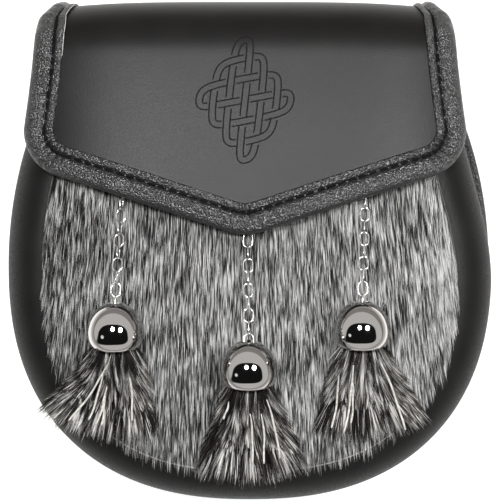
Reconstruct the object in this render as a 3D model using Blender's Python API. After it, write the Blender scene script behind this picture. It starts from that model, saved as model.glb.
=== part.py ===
"""A dress sporran: black leather pouch with a fur front, a bound leather flap, three chains that end in
chrome bells, and a fur-on-hide tassel out of each bell. It lies on its back. Metres; +X is to the right
seen from the front, +Y is towards the top edge, +Z is the front. The origin is at the middle of the
bottom of the bounding box."""

import math

import bmesh
import bpy
from mathutils import Matrix, Vector

# The pouch seen from the front.
BODY_WIDTH = 0.1896
BODY_DROP = 0.0930  # from the widest line down to the bottom edge
BODY_RISE = 0.1250  # height of the half ellipse that the sides follow above the widest line
BODY_SQUARENESS = 2.37  # exponent of the superellipse below the widest line
WIDEST_Y = -0.0048
BACK_TOP_Y = 0.0730
GUSSET_TOP_Y = 0.0640
FRONT_TOP_Y = 0.0615

# The front leans a little to the left of the back, more towards the top.
LEAN = 0.0019
SHOULDER_NARROWING = 0.0021
LEAN_STARTS_Y = -0.0150
LEAN_FULL_Y = 0.0350

CLEARANCE = 0.0003
LEATHER = 0.0018
BINDING_LEATHER = 0.0012
PANEL_LEATHER = 0.0020
FLAP_LEATHER = 0.0020
POUCH_DEPTH = 0.0337
BAND_WIDTH = 0.0145
BAND_NARROWING_BELOW = 0.0020
BACK_BINDING_LIP = 0.0050

# The gusset's outer face: inset from the outline as a share of BAND_WIDTH, height as a share of
# POUCH_DEPTH, from the flange on the back panel to the flange under the front panel.
GUSSET_COLUMNS = ("inset", "height")
GUSSET_SECTION = (
    (0.85, 0.000),
    (0.42, 0.000),
    (0.38, 0.055),
    (0.11, 0.185),
    (0.02, 0.380),
    (0.06, 0.590),
    (0.25, 0.780),
    (0.55, 0.925),
    (0.90, 0.994),
    (1.32, 1.000),
)

# The fur front: a hide with its pile, crowned over the filled pouch.
HIDE = 0.0012
PILE = 0.0024
FRONT_CROWN = 0.0035
FRONT_MARGIN = 0.0005  # of the hide's edge inside the band
# Rings of the pile's surface: inset in metres is a share of BAND_WIDTH, lift a share of PILE.
PILE_COLUMNS = ("inset", "lift")
PILE_RINGS = ((0.0, 0.0), (0.06, 0.55), (0.30, 1.0))
PILE_INNER_RINGS = (0.72, 0.38)

# The flap: from its tail on the back panel, over the top, and down the front to a point.
FLAP_WIDTH = 0.1662
FLAP_TAIL = 0.0240
FLAP_STANDOFF = 0.0111  # from the gusset's front to the flap's outer face where it leaves the roll
ROLL_Y = 0.0740
FLAP_TIP_Y = 0.0076
FLAP_RISE = 0.0043
FLAP_DROOP = 0.0080
DROOP_STARTS = 0.20
DROOP_FULL = 0.80
FLAP_SLOPE = math.radians(17.4)
FLAP_CORNER_RADIUS = 0.0175
FLAP_TIP_RADIUS = 0.0200
# Half width of the flap: place is the share of the tail, the roll or the straight side.
WIDTH_COLUMNS = ("stretch", "place", "width")
FLAP_WIDTHS = (
    ("tail", 0.0, 0.740),
    ("tail", 1.0, 0.800),
    ("roll", 0.25, 0.840),
    ("roll", 0.50, 0.880),
    ("roll", 0.66, 0.935),
    ("roll", 0.80, 0.950),
    ("roll", 1.0, 0.960),
    ("side", 0.50, 0.978),
    ("side", 1.0, 1.000),
)

# The flap's binding: inset and height are shares of BINDING_WIDTH and BINDING_LEATHER.
BINDING_WIDTH = 0.0100
BINDING_STARTS = 3  # steps of the roll left out before it begins, behind the top edge
BINDING_SLACK = 0.0006  # room between the binding and the flap's leather
BINDING_COLUMNS = ("inset", "height")
BINDING_TOP = (
    (1.00, 1.25),
    (0.63, 1.00),
    (0.34, 1.90),
    (0.04, 1.60),
)
BINDING_NOSE = 0.0013  # how far the fold stands past the flap's edge
BINDING_UNDER = 0.60  # width of the lower lip as a share of BINDING_WIDTH

# Chains, bells and tassels.
WIRE = 0.00055
LINK_LENGTH = 0.0059
LINK_WIDTH = 0.0041
LINK_OVERLAP = 0.0001
WIRE_SIDES = 5
POST_RADIUS = 0.0010
POST_HEAD_RADIUS = 0.0022
POST_HEAD = 0.0006
EYE_WIRE = 0.0009
EYE_RADIUS = 0.0016

BELL_RADIUS = 0.0107
BELL_HEIGHT = 0.0182
BELL_BELLY = 0.0062  # height of the widest ring above the mouth
BELL_WALL = 0.0008
BELL_HOLE_RADIUS = 0.0028
BELL_MOUTH_RADIUS = 0.0088
BELL_TILT = math.radians(7.0)
LINK_IN_BELL = 0.0028
BELL_SEGMENTS = 14
BELL_ARCS = 4

TASSEL_LENGTH = 0.0350
LOCK_WIDTH = 0.0078
LOCK_THICKNESS = 0.0034
LOCK_ROOT_THICKNESS = 0.0060
LOCK_ROOT_WIDTH = 0.0056
LAYER_LIFT = 0.0023
LOCK_START = 0.35  # height over the mouth as a share of BELL_BELLY
# Stations of a lock from root to end: share of its length, share of its swing.
STATION_COLUMNS = ("place", "splay")
LOCK_STATIONS = ((0.0, 0.20), (0.13, 0.35), (0.50, 1.05), (1.0, 1.15))
HEAD_RADIUS = 0.0066

# Each hanging: where its chain starts and its bell's hole is, as shares of BODY_WIDTH across and of
# BODY_DROP below the widest line, how many links, how far its first two links fall short of a right
# angle to each other, the twist of its upper links, and its tassel's middle swing, half spread and
# share of TASSEL_LENGTH. Angles are in degrees.
HANGING_COLUMNS = (
    "side", "top_across", "hole_across", "hole_down", "links", "early", "twist", "swing", "spread", "length"
)
HANGINGS = (
    ("left", -0.2553, -0.2700, 0.159, 11, 45.0, 34.0, -10.0, 33.0, 1.00),
    ("centre", -0.0047, -0.0026, 0.314, 11, 0.0, 0.0, 3.0, 27.5, 1.07),
    ("right", 0.2342, 0.2236, 0.153, 11, 45.0, 0.0, 5.0, 30.0, 1.00),
)
# Locks of a tassel: turn is a share of its spread, reach a share of its length, layer 0 lies on the
# fur and layer 1 on top.
LOCK_COLUMNS = ("turn", "reach", "layer")
LOCKS = (
    (-1.00, 0.96, 0),
    (-0.50, 0.98, 0),
    (0.00, 1.00, 0),
    (0.50, 0.98, 0),
    (1.00, 0.96, 0),
    (-0.68, 0.90, 1),
    (0.02, 0.93, 1),
    (0.70, 0.91, 1),
)

STUD_RADIUS = 0.0045
STUD_FROM_TIP = 0.0260

# The strap's fittings on the back.
RING_WIRE = 0.0025
RING_WIDTH = 0.0225
RING_REACH = 0.0088
RING_X = 0.0450
RING_CORNER = 0.0024
TAB_WIDTH = 0.0140
TAB_LENGTH = 0.0350
TAB_BAR_Y = 0.0860

# How finely the solids are faceted.
BAND_STATIONS = 31
FRONT_STATIONS = 32
ROLL_STEPS = 8
FLAP_ROWS = 5
FLAP_CORNER_STEPS = 3

LOOKS = {
    "smooth_leather": ((0.022, 0.021, 0.020), 0.46, 0.0),
    "pebbled_leather": ((0.026, 0.026, 0.027), 0.50, 0.0),
    "grey_fur": ((0.190, 0.190, 0.186), 0.85, 0.0),
    "tassel_fur": ((0.105, 0.098, 0.090), 0.85, 0.0),
    "chrome": ((0.640, 0.630, 0.610), 0.08, 1.0),
    "steel": ((0.560, 0.560, 0.550), 0.25, 1.0),
}


def clear_scene():
    for old in list(bpy.data.objects):
        bpy.data.objects.remove(old, do_unlink=True)


def look(name):
    """The material of that name, made once."""
    made = bpy.data.materials.get(name)
    if made is None:
        colour, roughness, metallic = LOOKS[name]
        made = bpy.data.materials.new(name)
        made.use_nodes = True
        shader = made.node_tree.nodes["Principled BSDF"]
        shader.inputs["Base Color"].default_value = (*colour, 1.0)
        shader.inputs["Roughness"].default_value = roughness
        shader.inputs["Metallic"].default_value = metallic
        made.diffuse_color = (*colour, 1.0)
    return made


def add_solid(name, points, faces, material, smooth_angle=math.radians(40.0)):
    """One closed body with its faces pointing out."""
    mesh = bpy.data.meshes.new(name)
    mesh.from_pydata([tuple(p) for p in points], [], faces)
    shape = bmesh.new()
    shape.from_mesh(mesh)
    bmesh.ops.recalc_face_normals(shape, faces=shape.faces)
    shape.to_mesh(mesh)
    shape.free()
    mesh.shade_smooth()
    mesh.set_sharp_from_angle(angle=smooth_angle)
    mesh.materials.append(look(material))
    body = bpy.data.objects.new(name, mesh)
    bpy.context.scene.collection.objects.link(body)
    return body


def strip_faces(rings, around, closed, capped=True):
    """Faces of a body swept through rings of points, numbered ring after ring."""
    faces = []
    last = rings if closed else rings - 1
    for i in range(last):
        low = i * around
        high = ((i + 1) % rings) * around
        for j in range(around):
            k = (j + 1) % around
            faces.append((low + j, low + k, high + k, high + j))
    if not closed and capped:
        faces.append(tuple(range(around)))
        faces.append(tuple((rings - 1) * around + j for j in range(around)))
    return faces


def add_sweep(name, rings, material, closed=False, smooth_angle=math.radians(40.0)):
    points = [p for ring in rings for p in ring]
    faces = strip_faces(len(rings), len(rings[0]), closed)
    return add_solid(name, points, faces, material, smooth_angle)


def smooth_step(value, low, high):
    share = min(1.0, max(0.0, (value - low) / (high - low)))
    return share * share * (3.0 - 2.0 * share)


def interpolate(table, place):
    """Straight-line reading of a table of (place, value) pairs."""
    if place <= table[0][0]:
        return table[0][1]
    for (low, a), (high, b) in zip(table, table[1:]):
        if place <= high:
            return a + (b - a) * (place - low) / (high - low)
    return table[-1][1]


def resample(line, count):
    """count points at equal steps along a polyline of (x, y)."""
    lengths = [0.0]
    for a, b in zip(line, line[1:]):
        lengths.append(lengths[-1] + math.dist(a, b))
    made = []
    j = 0
    for i in range(count):
        want = lengths[-1] * i / (count - 1)
        while j < len(line) - 2 and lengths[j + 1] < want:
            j += 1
        share = (want - lengths[j]) / (lengths[j + 1] - lengths[j])
        a, b = line[j], line[j + 1]
        made.append((a[0] + (b[0] - a[0]) * share, a[1] + (b[1] - a[1]) * share))
    return made


def left_normals(line):
    """Unit normals on the left of a polyline's direction."""
    normals = []
    for i in range(len(line)):
        a = line[max(i - 1, 0)]
        b = line[min(i + 1, len(line) - 1)]
        along = (b[0] - a[0], b[1] - a[1])
        size = math.hypot(*along)
        normals.append((-along[1] / size, along[0] / size))
    return normals


# The pouch.


def outline_half_width(y):
    """Half width of the back outline at a height."""
    if y >= WIDEST_Y:
        share = min(1.0, (y - WIDEST_Y) / BODY_RISE)
        return 0.5 * BODY_WIDTH * math.sqrt(1.0 - share * share)
    share = min(1.0, (WIDEST_Y - y) / BODY_DROP)
    return 0.5 * BODY_WIDTH * (1.0 - share**BODY_SQUARENESS) ** (1.0 / BODY_SQUARENESS)


def outline(top_y, stations):
    """The back outline from its upper left end round the bottom to its upper right end."""
    half = 0.5 * BODY_WIDTH
    top_angle = math.asin((top_y - WIDEST_Y) / BODY_RISE)
    fine = 60
    line = []
    for i in range(fine):
        angle = top_angle * (1.0 - i / fine)
        line.append((-half * math.cos(angle), WIDEST_Y + BODY_RISE * math.sin(angle)))
    power = 2.0 / BODY_SQUARENESS
    for i in range(2 * fine + 1):
        angle = math.pi * i / (2 * fine)
        across = math.copysign(abs(math.cos(angle)) ** power, -math.cos(angle))
        line.append((half * across, WIDEST_Y - BODY_DROP * math.sin(angle) ** power))
    for i in range(1, fine + 1):
        angle = top_angle * i / fine
        line.append((half * math.cos(angle), WIDEST_Y + BODY_RISE * math.sin(angle)))
    return resample(line, stations)


def inset_points(line, inset):
    """Points moved in by inset, which may be a function of the inward normal."""
    moved = []
    for (x, y), (nx, ny) in zip(line, left_normals(line)):
        by = inset((nx, ny)) if callable(inset) else inset
        moved.append((x + nx * by, y + ny * by))
    return moved


def lean_share(y):
    return smooth_step(y, LEAN_STARTS_Y, LEAN_FULL_Y)


def front_line(top_y, stations):
    """The outline that the gusset and the front follow: narrower at the shoulders, and leaning."""
    line = outline(top_y, stations)
    made = []
    for (x, y), (nx, ny) in zip(line, left_normals(line)):
        share = lean_share(y)
        narrow = SHOULDER_NARROWING * share
        made.append((x + nx * narrow - LEAN * share, y + ny * narrow))
    return made


BACK_BOTTOM_Z = BINDING_LEATHER + CLEARANCE
BACK_FACE_Z = BACK_BOTTOM_Z + PANEL_LEATHER
INSIDE_Z = BACK_FACE_Z + CLEARANCE
GUSSET_TOP_Z = INSIDE_Z + POUCH_DEPTH
FRONT_Z = GUSSET_TOP_Z + CLEARANCE


def add_back_panel():
    edge = inset_points(outline(BACK_TOP_Y, BAND_STATIONS), 0.5 * BACK_BINDING_LIP - 2.0 * CLEARANCE)
    rings = [[(x, y, z) for x, y in edge] for z in (BACK_BOTTOM_Z, BACK_FACE_Z)]
    add_sweep("back_panel", rings, "smooth_leather")


def add_back_binding():
    """A channel folded round the back panel's edge."""
    lip = BACK_BINDING_LIP
    thick = BINDING_LEATHER
    top = INSIDE_Z + thick
    seat = 0.5 * lip - 2.0 * CLEARANCE - CLEARANCE
    section = (
        (lip, INSIDE_Z),
        (lip, top),
        (0.24 * lip, top),
        (0.0, 0.80 * top),
        (0.0, 0.20 * top),
        (0.20 * lip, 0.0),
        (1.30 * lip, 0.0),
        (1.30 * lip, thick),
        (seat, thick),
        (seat, INSIDE_Z),
    )
    line = outline(BACK_TOP_Y - lip, BAND_STATIONS)
    normals = left_normals(line)
    rings = []
    for (x, y), (nx, ny) in zip(line, normals):
        rings.append([(x + nx * inset, y + ny * inset, z) for inset, z in section])
    add_sweep("back_binding", rings, "pebbled_leather")


def thicken_section(outer, thickness):
    """A closed section from an outer face and the same face moved in by the leather's thickness."""
    inner = []
    for i, point in enumerate(outer):
        before = outer[max(i - 1, 0)]
        after = outer[min(i + 1, len(outer) - 1)]
        first = Vector(point) - Vector(before) if i > 0 else Vector(after) - Vector(point)
        second = Vector(after) - Vector(point) if i < len(outer) - 1 else first
        first.normalize()
        second.normalize()
        along = (first + second).normalized()
        normal = Vector((along.y, -along.x)) * -1.0
        reach = thickness / max(0.6, along.dot(first))
        inner.append((point[0] - normal.x * reach, point[1] - normal.y * reach))
    return list(outer) + inner[::-1]


def gusset_section():
    outer = [(inset * BAND_WIDTH, INSIDE_Z + height * POUCH_DEPTH) for inset, height in GUSSET_SECTION]
    return thicken_section(outer, LEATHER)


def add_gusset():
    line = front_line(GUSSET_TOP_Y, BAND_STATIONS)
    section = gusset_section()
    rings = []
    for (x, y), (nx, ny) in zip(line, left_normals(line)):
        rings.append([(x + nx * inset, y + ny * inset, z) for inset, z in section])
    add_sweep("gusset", rings, "smooth_leather")


def front_edge():
    """The hide's edge, closed by its straight top."""
    line = front_line(FRONT_TOP_Y, FRONT_STATIONS)
    return inset_points(
        line, lambda n: BAND_WIDTH + FRONT_MARGIN - BAND_NARROWING_BELOW * max(0.0, n[1])
    )


def front_middle():
    """Middle and half sizes of the fur front, for its crown."""
    edge = front_edge()
    xs = [p[0] for p in edge]
    ys = [p[1] for p in edge]
    return (
        0.5 * (min(xs) + max(xs)),
        0.5 * (min(ys) + max(ys)),
        0.5 * (max(xs) - min(xs)),
        0.5 * (max(ys) - min(ys)),
    )


def crown(x, y):
    mx, my, rx, ry = front_middle()
    away = min(1.0, ((x - mx) / rx) ** 2 + ((y - my) / ry) ** 2)
    return FRONT_CROWN * (1.0 - away)


def fur_top(x, y):
    """Height of the laid pile's surface, level beyond the panel's edge."""
    return FRONT_Z + HIDE + PILE + crown(x, y)


def add_front_panel():
    edge = front_edge()
    mx, my, _, _ = front_middle()
    rings = [[(x, y, FRONT_Z) for x, y in edge]]
    for inset, lift in PILE_RINGS:
        ring = []
        for x, y in edge:
            inward = Vector((mx - x, my - y)).normalized() * inset * BAND_WIDTH
            px, py = x + inward.x, y + inward.y
            ring.append((px, py, FRONT_Z + HIDE + lift * (PILE + crown(px, py))))
        rings.append(ring)
    rim = rings[-1]
    for share in PILE_INNER_RINGS:
        ring = []
        for x, y, _ in rim:
            px, py = mx + (x - mx) * share, my + (y - my) * share
            ring.append((px, py, fur_top(px, py)))
        rings.append(ring)
    add_sweep("front_panel", rings, "grey_fur", smooth_angle=math.radians(60.0))


# The flap. Its leather is laid out flat first: across is the distance from the middle line, along is
# the distance from the tail's end over the roll to the tip.

ROLL_RADIUS = 0.5 * (POUCH_DEPTH + FLAP_STANDOFF)
ROLL_LENGTH = math.pi * ROLL_RADIUS
FRONT_STARTS = FLAP_TAIL + ROLL_LENGTH
FLAP_LENGTH = FRONT_STARTS + ROLL_Y - FLAP_TIP_Y
ROLL_Z = INSIDE_Z + ROLL_RADIUS
CORNER_ALONG = FLAP_LENGTH - 0.5 * FLAP_WIDTH * math.tan(FLAP_SLOPE)
CORNER_TANGENT = FLAP_CORNER_RADIUS * math.tan(0.25 * math.pi - 0.5 * FLAP_SLOPE)
SIDE_ENDS = CORNER_ALONG - CORNER_TANGENT


def flap_half_width(along):
    starts = {"tail": 0.0, "roll": FLAP_TAIL, "side": FRONT_STARTS}
    ends = {"tail": FLAP_TAIL, "roll": FRONT_STARTS, "side": SIDE_ENDS}
    table = [
        (starts[stretch] + (ends[stretch] - starts[stretch]) * place, width)
        for stretch, place, width in FLAP_WIDTHS
    ]
    return 0.5 * FLAP_WIDTH * interpolate(table, along)


def flap_profile(along):
    """Place (y, z), outward normal and share of the side droop on the middle line."""
    if along <= FLAP_TAIL:
        return Vector((ROLL_Y - FLAP_TAIL + along, INSIDE_Z)), Vector((0.0, -1.0)), 0.0
    if along <= FRONT_STARTS:
        turn = (along - FLAP_TAIL) / ROLL_LENGTH
        angle = math.pi * (turn - 0.5)
        out = Vector((math.cos(angle), math.sin(angle)))
        droop_share = smooth_step(turn, DROOP_STARTS, DROOP_FULL)
        return Vector((ROLL_Y, ROLL_Z)) + out * ROLL_RADIUS, out, droop_share
    down = along - FRONT_STARTS
    reach = FLAP_LENGTH - FRONT_STARTS
    phase = math.pi * min(1.0, down / reach)
    lift = 0.5 * FLAP_RISE * (1.0 - math.cos(phase))
    slope = 0.5 * FLAP_RISE * math.pi / reach * math.sin(phase)
    out = Vector((slope, 1.0)).normalized()
    return Vector((ROLL_Y - down, ROLL_Z + ROLL_RADIUS + lift)), out, 1.0


def flap_place(across, along, height=0.0):
    """A point at a height over the flap's outer face."""
    spot, out, droop_share = flap_profile(along)
    share = across / (0.5 * FLAP_WIDTH)
    droop = FLAP_DROOP * droop_share
    out3 = Vector((0.0, out.x, out.y))
    tilt = 4.0 * droop * share**3 / (0.5 * FLAP_WIDTH)
    normal = (out3 + Vector((tilt, 0.0, 0.0))).normalized()
    base = Vector((across - LEAN, spot.x, spot.y)) - out3 * droop * share**4
    return base + normal * height


def flap_lower_edge():
    """From the left side's end, round the corner, down to the tip and up to the right."""
    half = 0.5 * FLAP_WIDTH
    middle = Vector((-half + FLAP_CORNER_RADIUS, SIDE_ENDS))
    sweep = 0.5 * math.pi - FLAP_SLOPE
    left = []
    for i in range(FLAP_CORNER_STEPS + 1):
        angle = sweep * i / FLAP_CORNER_STEPS
        left.append(middle + FLAP_CORNER_RADIUS * Vector((-math.cos(angle), math.sin(angle))))
    tip_half = FLAP_TIP_RADIUS * math.sin(FLAP_SLOPE)
    tip_middle = FLAP_LENGTH - FLAP_TIP_RADIUS
    start = Vector((-tip_half, tip_middle + FLAP_TIP_RADIUS * math.cos(FLAP_SLOPE)))
    run = start - left[-1]
    left += [left[-1] + run * share for share in (0.5, 1.0)]
    left.append(Vector((0.0, FLAP_LENGTH)))
    right = [Vector((-p.x, p.y)) for p in reversed(left[:-1])]
    return left + right


def add_flap():
    lower = flap_lower_edge()
    alongs = [0.0]
    alongs += [FLAP_TAIL + ROLL_LENGTH * i / ROLL_STEPS for i in range(ROLL_STEPS + 1)]
    faces = []
    outer = []
    for end in lower:
        share = end.x / (0.5 * FLAP_WIDTH)
        column = [(share * flap_half_width(a), a) for a in alongs]
        for i in range(1, FLAP_ROWS + 1):
            along = FRONT_STARTS + (end.y - FRONT_STARTS) * i / FLAP_ROWS
            column.append((share * flap_half_width(along), along))
        outer.append(column)
    columns = len(outer)
    rows = len(outer[0])
    points = [flap_place(x, a) for column in outer for x, a in column]
    points += [flap_place(x, a, -FLAP_LEATHER) for column in outer for x, a in column]
    under = columns * rows
    for i in range(columns - 1):
        for j in range(rows - 1):
            corner = i * rows + j
            quad = (corner, corner + rows, corner + rows + 1, corner + 1)
            faces.append(quad)
            faces.append(tuple(under + k for k in reversed(quad)))
    rim = [i * rows for i in range(columns)]
    rim += [(columns - 1) * rows + j for j in range(1, rows)]
    rim += [i * rows + rows - 1 for i in range(columns - 2, -1, -1)]
    rim += [j for j in range(rows - 2, 0, -1)]
    for a, b in zip(rim, rim[1:] + rim[:1]):
        faces.append((a, b, under + b, under + a))
    add_solid("flap", points, faces, "smooth_leather")


def flap_edge_path():
    """The bound edge laid out flat, from behind the top on the left to the same on the right."""
    side = []
    for i in range(BINDING_STARTS, ROLL_STEPS):
        along = FLAP_TAIL + ROLL_LENGTH * i / ROLL_STEPS
        side.append((-flap_half_width(along), along))
    for i in range(FLAP_ROWS):
        along = FRONT_STARTS + (SIDE_ENDS - FRONT_STARTS) * i / FLAP_ROWS
        side.append((-flap_half_width(along), along))
    lower = [(p.x, p.y) for p in flap_lower_edge()]
    return side + lower + [(-x, y) for x, y in reversed(side)]


def binding_section():
    """Closed section round the flap's edge: inset from the edge, height over the outer face."""
    width, thick, gap = BINDING_WIDTH, BINDING_LEATHER, BINDING_SLACK
    under = -FLAP_LEATHER - gap
    section = [(0.5 * width, gap), (width, gap)]
    section += [(inset * width, gap + height * thick) for inset, height in BINDING_TOP]
    section += [(-BINDING_NOSE - gap, gap), (-BINDING_NOSE - gap, under)]
    section += [(0.0, under - thick), (BINDING_UNDER * width, under - thick)]
    section += [(BINDING_UNDER * width, under), (0.5 * BINDING_UNDER * width, under)]
    section += [(-gap, under), (-gap, gap)]
    return section


def add_flap_binding():
    path = flap_edge_path()
    normals = left_normals(path)
    rings = []
    for (x, along), (nx, ny) in zip(path, normals):
        ring = []
        for inset, height in binding_section():
            ring.append(flap_place(x - nx * inset, along - ny * inset, height))
        rings.append(ring)
    add_sweep("flap_binding", rings, "pebbled_leather")


def flap_underside(x, y):
    """Height of the flap's inner face over a point of the front."""
    along = FRONT_STARTS + ROLL_Y - y
    return flap_place(x + LEAN, along, -FLAP_LEATHER).z


def add_stud():
    """A plain post between the fur front and the flap, above the flap's tip."""
    x, y = -LEAN, FLAP_TIP_Y + STUD_FROM_TIP
    sides = 12
    ring = [
        (x + STUD_RADIUS * math.cos(math.tau * i / sides), y + STUD_RADIUS * math.sin(math.tau * i / sides))
        for i in range(sides)
    ]
    low = max(fur_top(px, py) for px, py in ring + [(x, y)]) + CLEARANCE
    high = min(flap_underside(px, py) for px, py in ring + [(x, y)]) - CLEARANCE
    rings = [[(px, py, z) for px, py in ring] for z in (low, high)]
    add_sweep("closure_stud", rings, "steel")


# Chains, bells and tassels.

LINK_HALF = 0.5 * (LINK_LENGTH - WIRE)
PITCH = 2.0 * LINK_HALF - WIRE + LINK_OVERLAP
TIP_PAST_JOINT = LINK_HALF - 0.5 * PITCH


def frame_matrix(along, up):
    """Axes with x along, z as near up as it can be."""
    x = along.normalized()
    y = up.cross(x).normalized()
    z = x.cross(y)
    return Matrix((x, y, z)).transposed()


def closed_tube(line, radius, sides, phase=0.0):
    """Rings of a tube round a closed flat loop of points, with its mitres."""
    middle = sum(line, Vector()) / len(line)
    normal = (line[0] - middle).cross(line[1] - middle).normalized()
    rings = []
    for i, point in enumerate(line):
        before = (point - line[i - 1]).normalized()
        after = (line[(i + 1) % len(line)] - point).normalized()
        along = (before + after).normalized()
        inward = normal.cross(along).normalized()
        stretch = 1.0 / along.dot(before)
        ring = []
        for j in range(sides):
            angle = math.tau * j / sides + phase
            ring.append(
                point + radius * (inward * math.cos(angle) * stretch + normal * math.sin(angle))
            )
        rings.append(ring)
    return rings


def link_rings(middle, axes):
    """A stadium link in its own x-y plane."""
    bend = 0.5 * (LINK_WIDTH - WIRE)
    straight = LINK_HALF - bend
    line = []
    for end in (1.0, -1.0):
        for i in range(5):
            angle = math.radians(-90.0 + 45.0 * i)
            local = Vector((end * (straight + bend * math.cos(angle)), end * bend * math.sin(angle), 0.0))
            line.append(middle + axes @ local)
    return closed_tube(line, 0.5 * WIRE, WIRE_SIDES)


class Hanging:
    """Places of one chain, its bell and its tassel, from its row of the table."""

    def __init__(self, row):
        self.side, top_across, hole_across, hole_down, self.links = row[:5]
        early, twist, swing, spread, length = row[5:]
        self.top_x = top_across * BODY_WIDTH
        self.hole_x = hole_across * BODY_WIDTH
        self.hole_y = WIDEST_Y - hole_down * BODY_DROP
        self.length = length * TASSEL_LENGTH
        self.early = math.radians(early)
        self.twist = math.radians(twist)
        self.swing = math.radians(swing)
        self.spread = math.radians(spread)
        belly_y = self.hole_y - (BELL_HEIGHT - BELL_BELLY) * math.cos(BELL_TILT)
        rest = max(
            fur_top(self.hole_x, belly_y - BELL_BELLY), fur_top(self.hole_x, belly_y + BELL_BELLY)
        )
        self.axis = Vector((0.0, math.cos(BELL_TILT), math.sin(BELL_TILT)))
        low_side = rest + CLEARANCE + BELL_RADIUS / math.cos(BELL_TILT)
        self.belly = Vector((self.hole_x, belly_y, low_side))
        self.mouth = self.belly - self.axis * BELL_BELLY
        self.hole = self.mouth + self.axis * BELL_HEIGHT
        self.joints = self.lay_chain()

    def route(self, y):
        """The chain's middle line: low on the fur at the top, level at the bell."""
        end = self.chain_end
        share = min(1.0, max(0.0, (y - end.y) / self.run))
        x = end.x + (self.top_x - end.x) * share
        low = fur_top(x, y) + CLEARANCE + 0.5 * LINK_WIDTH
        blend = smooth_step(share, 0.0, 0.85)
        return Vector((x, y, end.z + (low - end.z) * blend))

    def lay_chain(self):
        """Joints from the anchor to the bell, one pitch apart."""
        self.chain_end = self.hole - self.axis * LINK_IN_BELL
        self.run = self.links * PITCH * 0.97
        joints = [self.chain_end]
        for _ in range(self.links):
            low, high = joints[-1].y + 0.5 * PITCH, joints[-1].y + PITCH
            for _ in range(40):
                middle = 0.5 * (low + high)
                if (self.route(middle) - joints[-1]).length < PITCH:
                    low = middle
                else:
                    high = middle
            joints.append(self.route(low))
        return joints[::-1]

    def link_axes(self, index):
        """Axes of one link: turned by a right angle from its neighbour, the first one flat."""
        along = self.joints[index + 1] - self.joints[index]
        axes = frame_matrix(along, Vector((0.0, 0.0, 1.0)))
        loose = 1.0 - index / (self.links - 1)
        turn = 0.5 * math.pi * index - self.early * min(index, 2)
        turn += self.twist * math.sin(math.pi * loose) * loose
        return axes @ Matrix.Rotation(turn, 3, "X")


def unite(body, others):
    """Body fused with the other objects, which are cut out of the scene."""
    for other in others:
        fuse = body.modifiers.new("fuse", "BOOLEAN")
        fuse.operation = "UNION"
        fuse.solver = "EXACT"
        fuse.use_self = True
        fuse.object = other
        other.hide_render = True
        other.display_type = "WIRE"


def joined_rings(sets, closed):
    """Points and faces of several swept bodies in one mesh."""
    points = []
    faces = []
    for rings in sets:
        start = len(points)
        around = len(rings[0])
        points += [p for ring in rings for p in ring]
        for face in strip_faces(len(rings), around, closed):
            faces.append(tuple(start + k for k in face))
    return points, faces


def add_chain(hanging):
    halves = ([], [])
    for index in range(hanging.links):
        middle = 0.5 * (hanging.joints[index] + hanging.joints[index + 1])
        halves[index % 2].append(link_rings(middle, hanging.link_axes(index)))
    name = f"chain_{hanging.side}"
    chain = add_solid(name, *joined_rings(halves[0], True), "steel")
    others = add_solid(f"{name}_between", *joined_rings(halves[1], True), "steel")
    unite(chain, [others])


def add_anchor(hanging):
    """A plain headed post on the front under the flap, which the first link lies round."""
    first = hanging.joints[0]
    along = (hanging.joints[1] - first).normalized()
    reach = 0.5 * WIRE + CLEARANCE + POST_RADIUS - TIP_PAST_JOINT
    spot = first + along * reach
    sides = 8
    turns = [math.tau * i / sides for i in range(sides)]
    spokes = [Vector((math.cos(turn), math.sin(turn))) for turn in turns]
    seats = [fur_top(*(spot.xy + spoke * POST_HEAD_RADIUS)) for spoke in spokes]
    foot = max(seats) + CLEARANCE
    grip = 0.5 * WIRE + 1.3 * CLEARANCE
    profile = (
        (POST_HEAD_RADIUS, foot),
        (POST_HEAD_RADIUS, foot + POST_HEAD),
        (POST_RADIUS, foot + POST_HEAD),
        (POST_RADIUS, spot.z + grip),
        (POST_HEAD_RADIUS, spot.z + grip),
        (POST_HEAD_RADIUS, spot.z + grip + POST_HEAD),
    )
    rings = [[(*(spot.xy + spoke * radius), z) for spoke in spokes] for radius, z in profile]
    add_sweep(f"chain_anchor_{hanging.side}", rings, "steel")


def bell_profile():
    """(radius, height over the mouth) from the mouth's outer edge up to the hole."""
    rise = BELL_HEIGHT - BELL_BELLY
    points = [
        (BELL_MOUTH_RADIUS, 0.0),
        (0.3 * BELL_MOUTH_RADIUS + 0.7 * BELL_RADIUS, 0.12 * BELL_BELLY),
        (0.985 * BELL_RADIUS, 0.45 * BELL_BELLY),
    ]
    last = math.acos(BELL_HOLE_RADIUS / BELL_RADIUS)
    for i in range(BELL_ARCS + 1):
        angle = last * i / BELL_ARCS
        points.append((BELL_RADIUS * math.cos(angle), BELL_BELLY + rise * math.sin(angle)))
    return points


def add_bell(hanging):
    outer = bell_profile()
    inner = []
    for i, (radius, height) in enumerate(outer):
        a = Vector(outer[max(i - 1, 0)])
        b = Vector(outer[min(i + 1, len(outer) - 1)])
        along = (b - a).normalized()
        inner.append((radius - along.y * BELL_WALL, height + along.x * BELL_WALL))
    inner[0] = (outer[0][0] - BELL_WALL, 0.0)
    inner[-1] = (BELL_HOLE_RADIUS, outer[-1][1] - BELL_WALL)
    section = outer + inner[::-1]
    axes = frame_matrix(hanging.axis, Vector((0.0, 0.0, 1.0)))
    rings = []
    for i in range(BELL_SEGMENTS):
        angle = math.tau * i / BELL_SEGMENTS
        spoke = axes @ Vector((0.0, math.cos(angle), math.sin(angle)))
        rings.append([hanging.mouth + hanging.axis * h + spoke * r for r, h in section])
    add_sweep(f"bell_{hanging.side}", rings, "chrome", closed=True, smooth_angle=math.radians(50.0))


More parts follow.
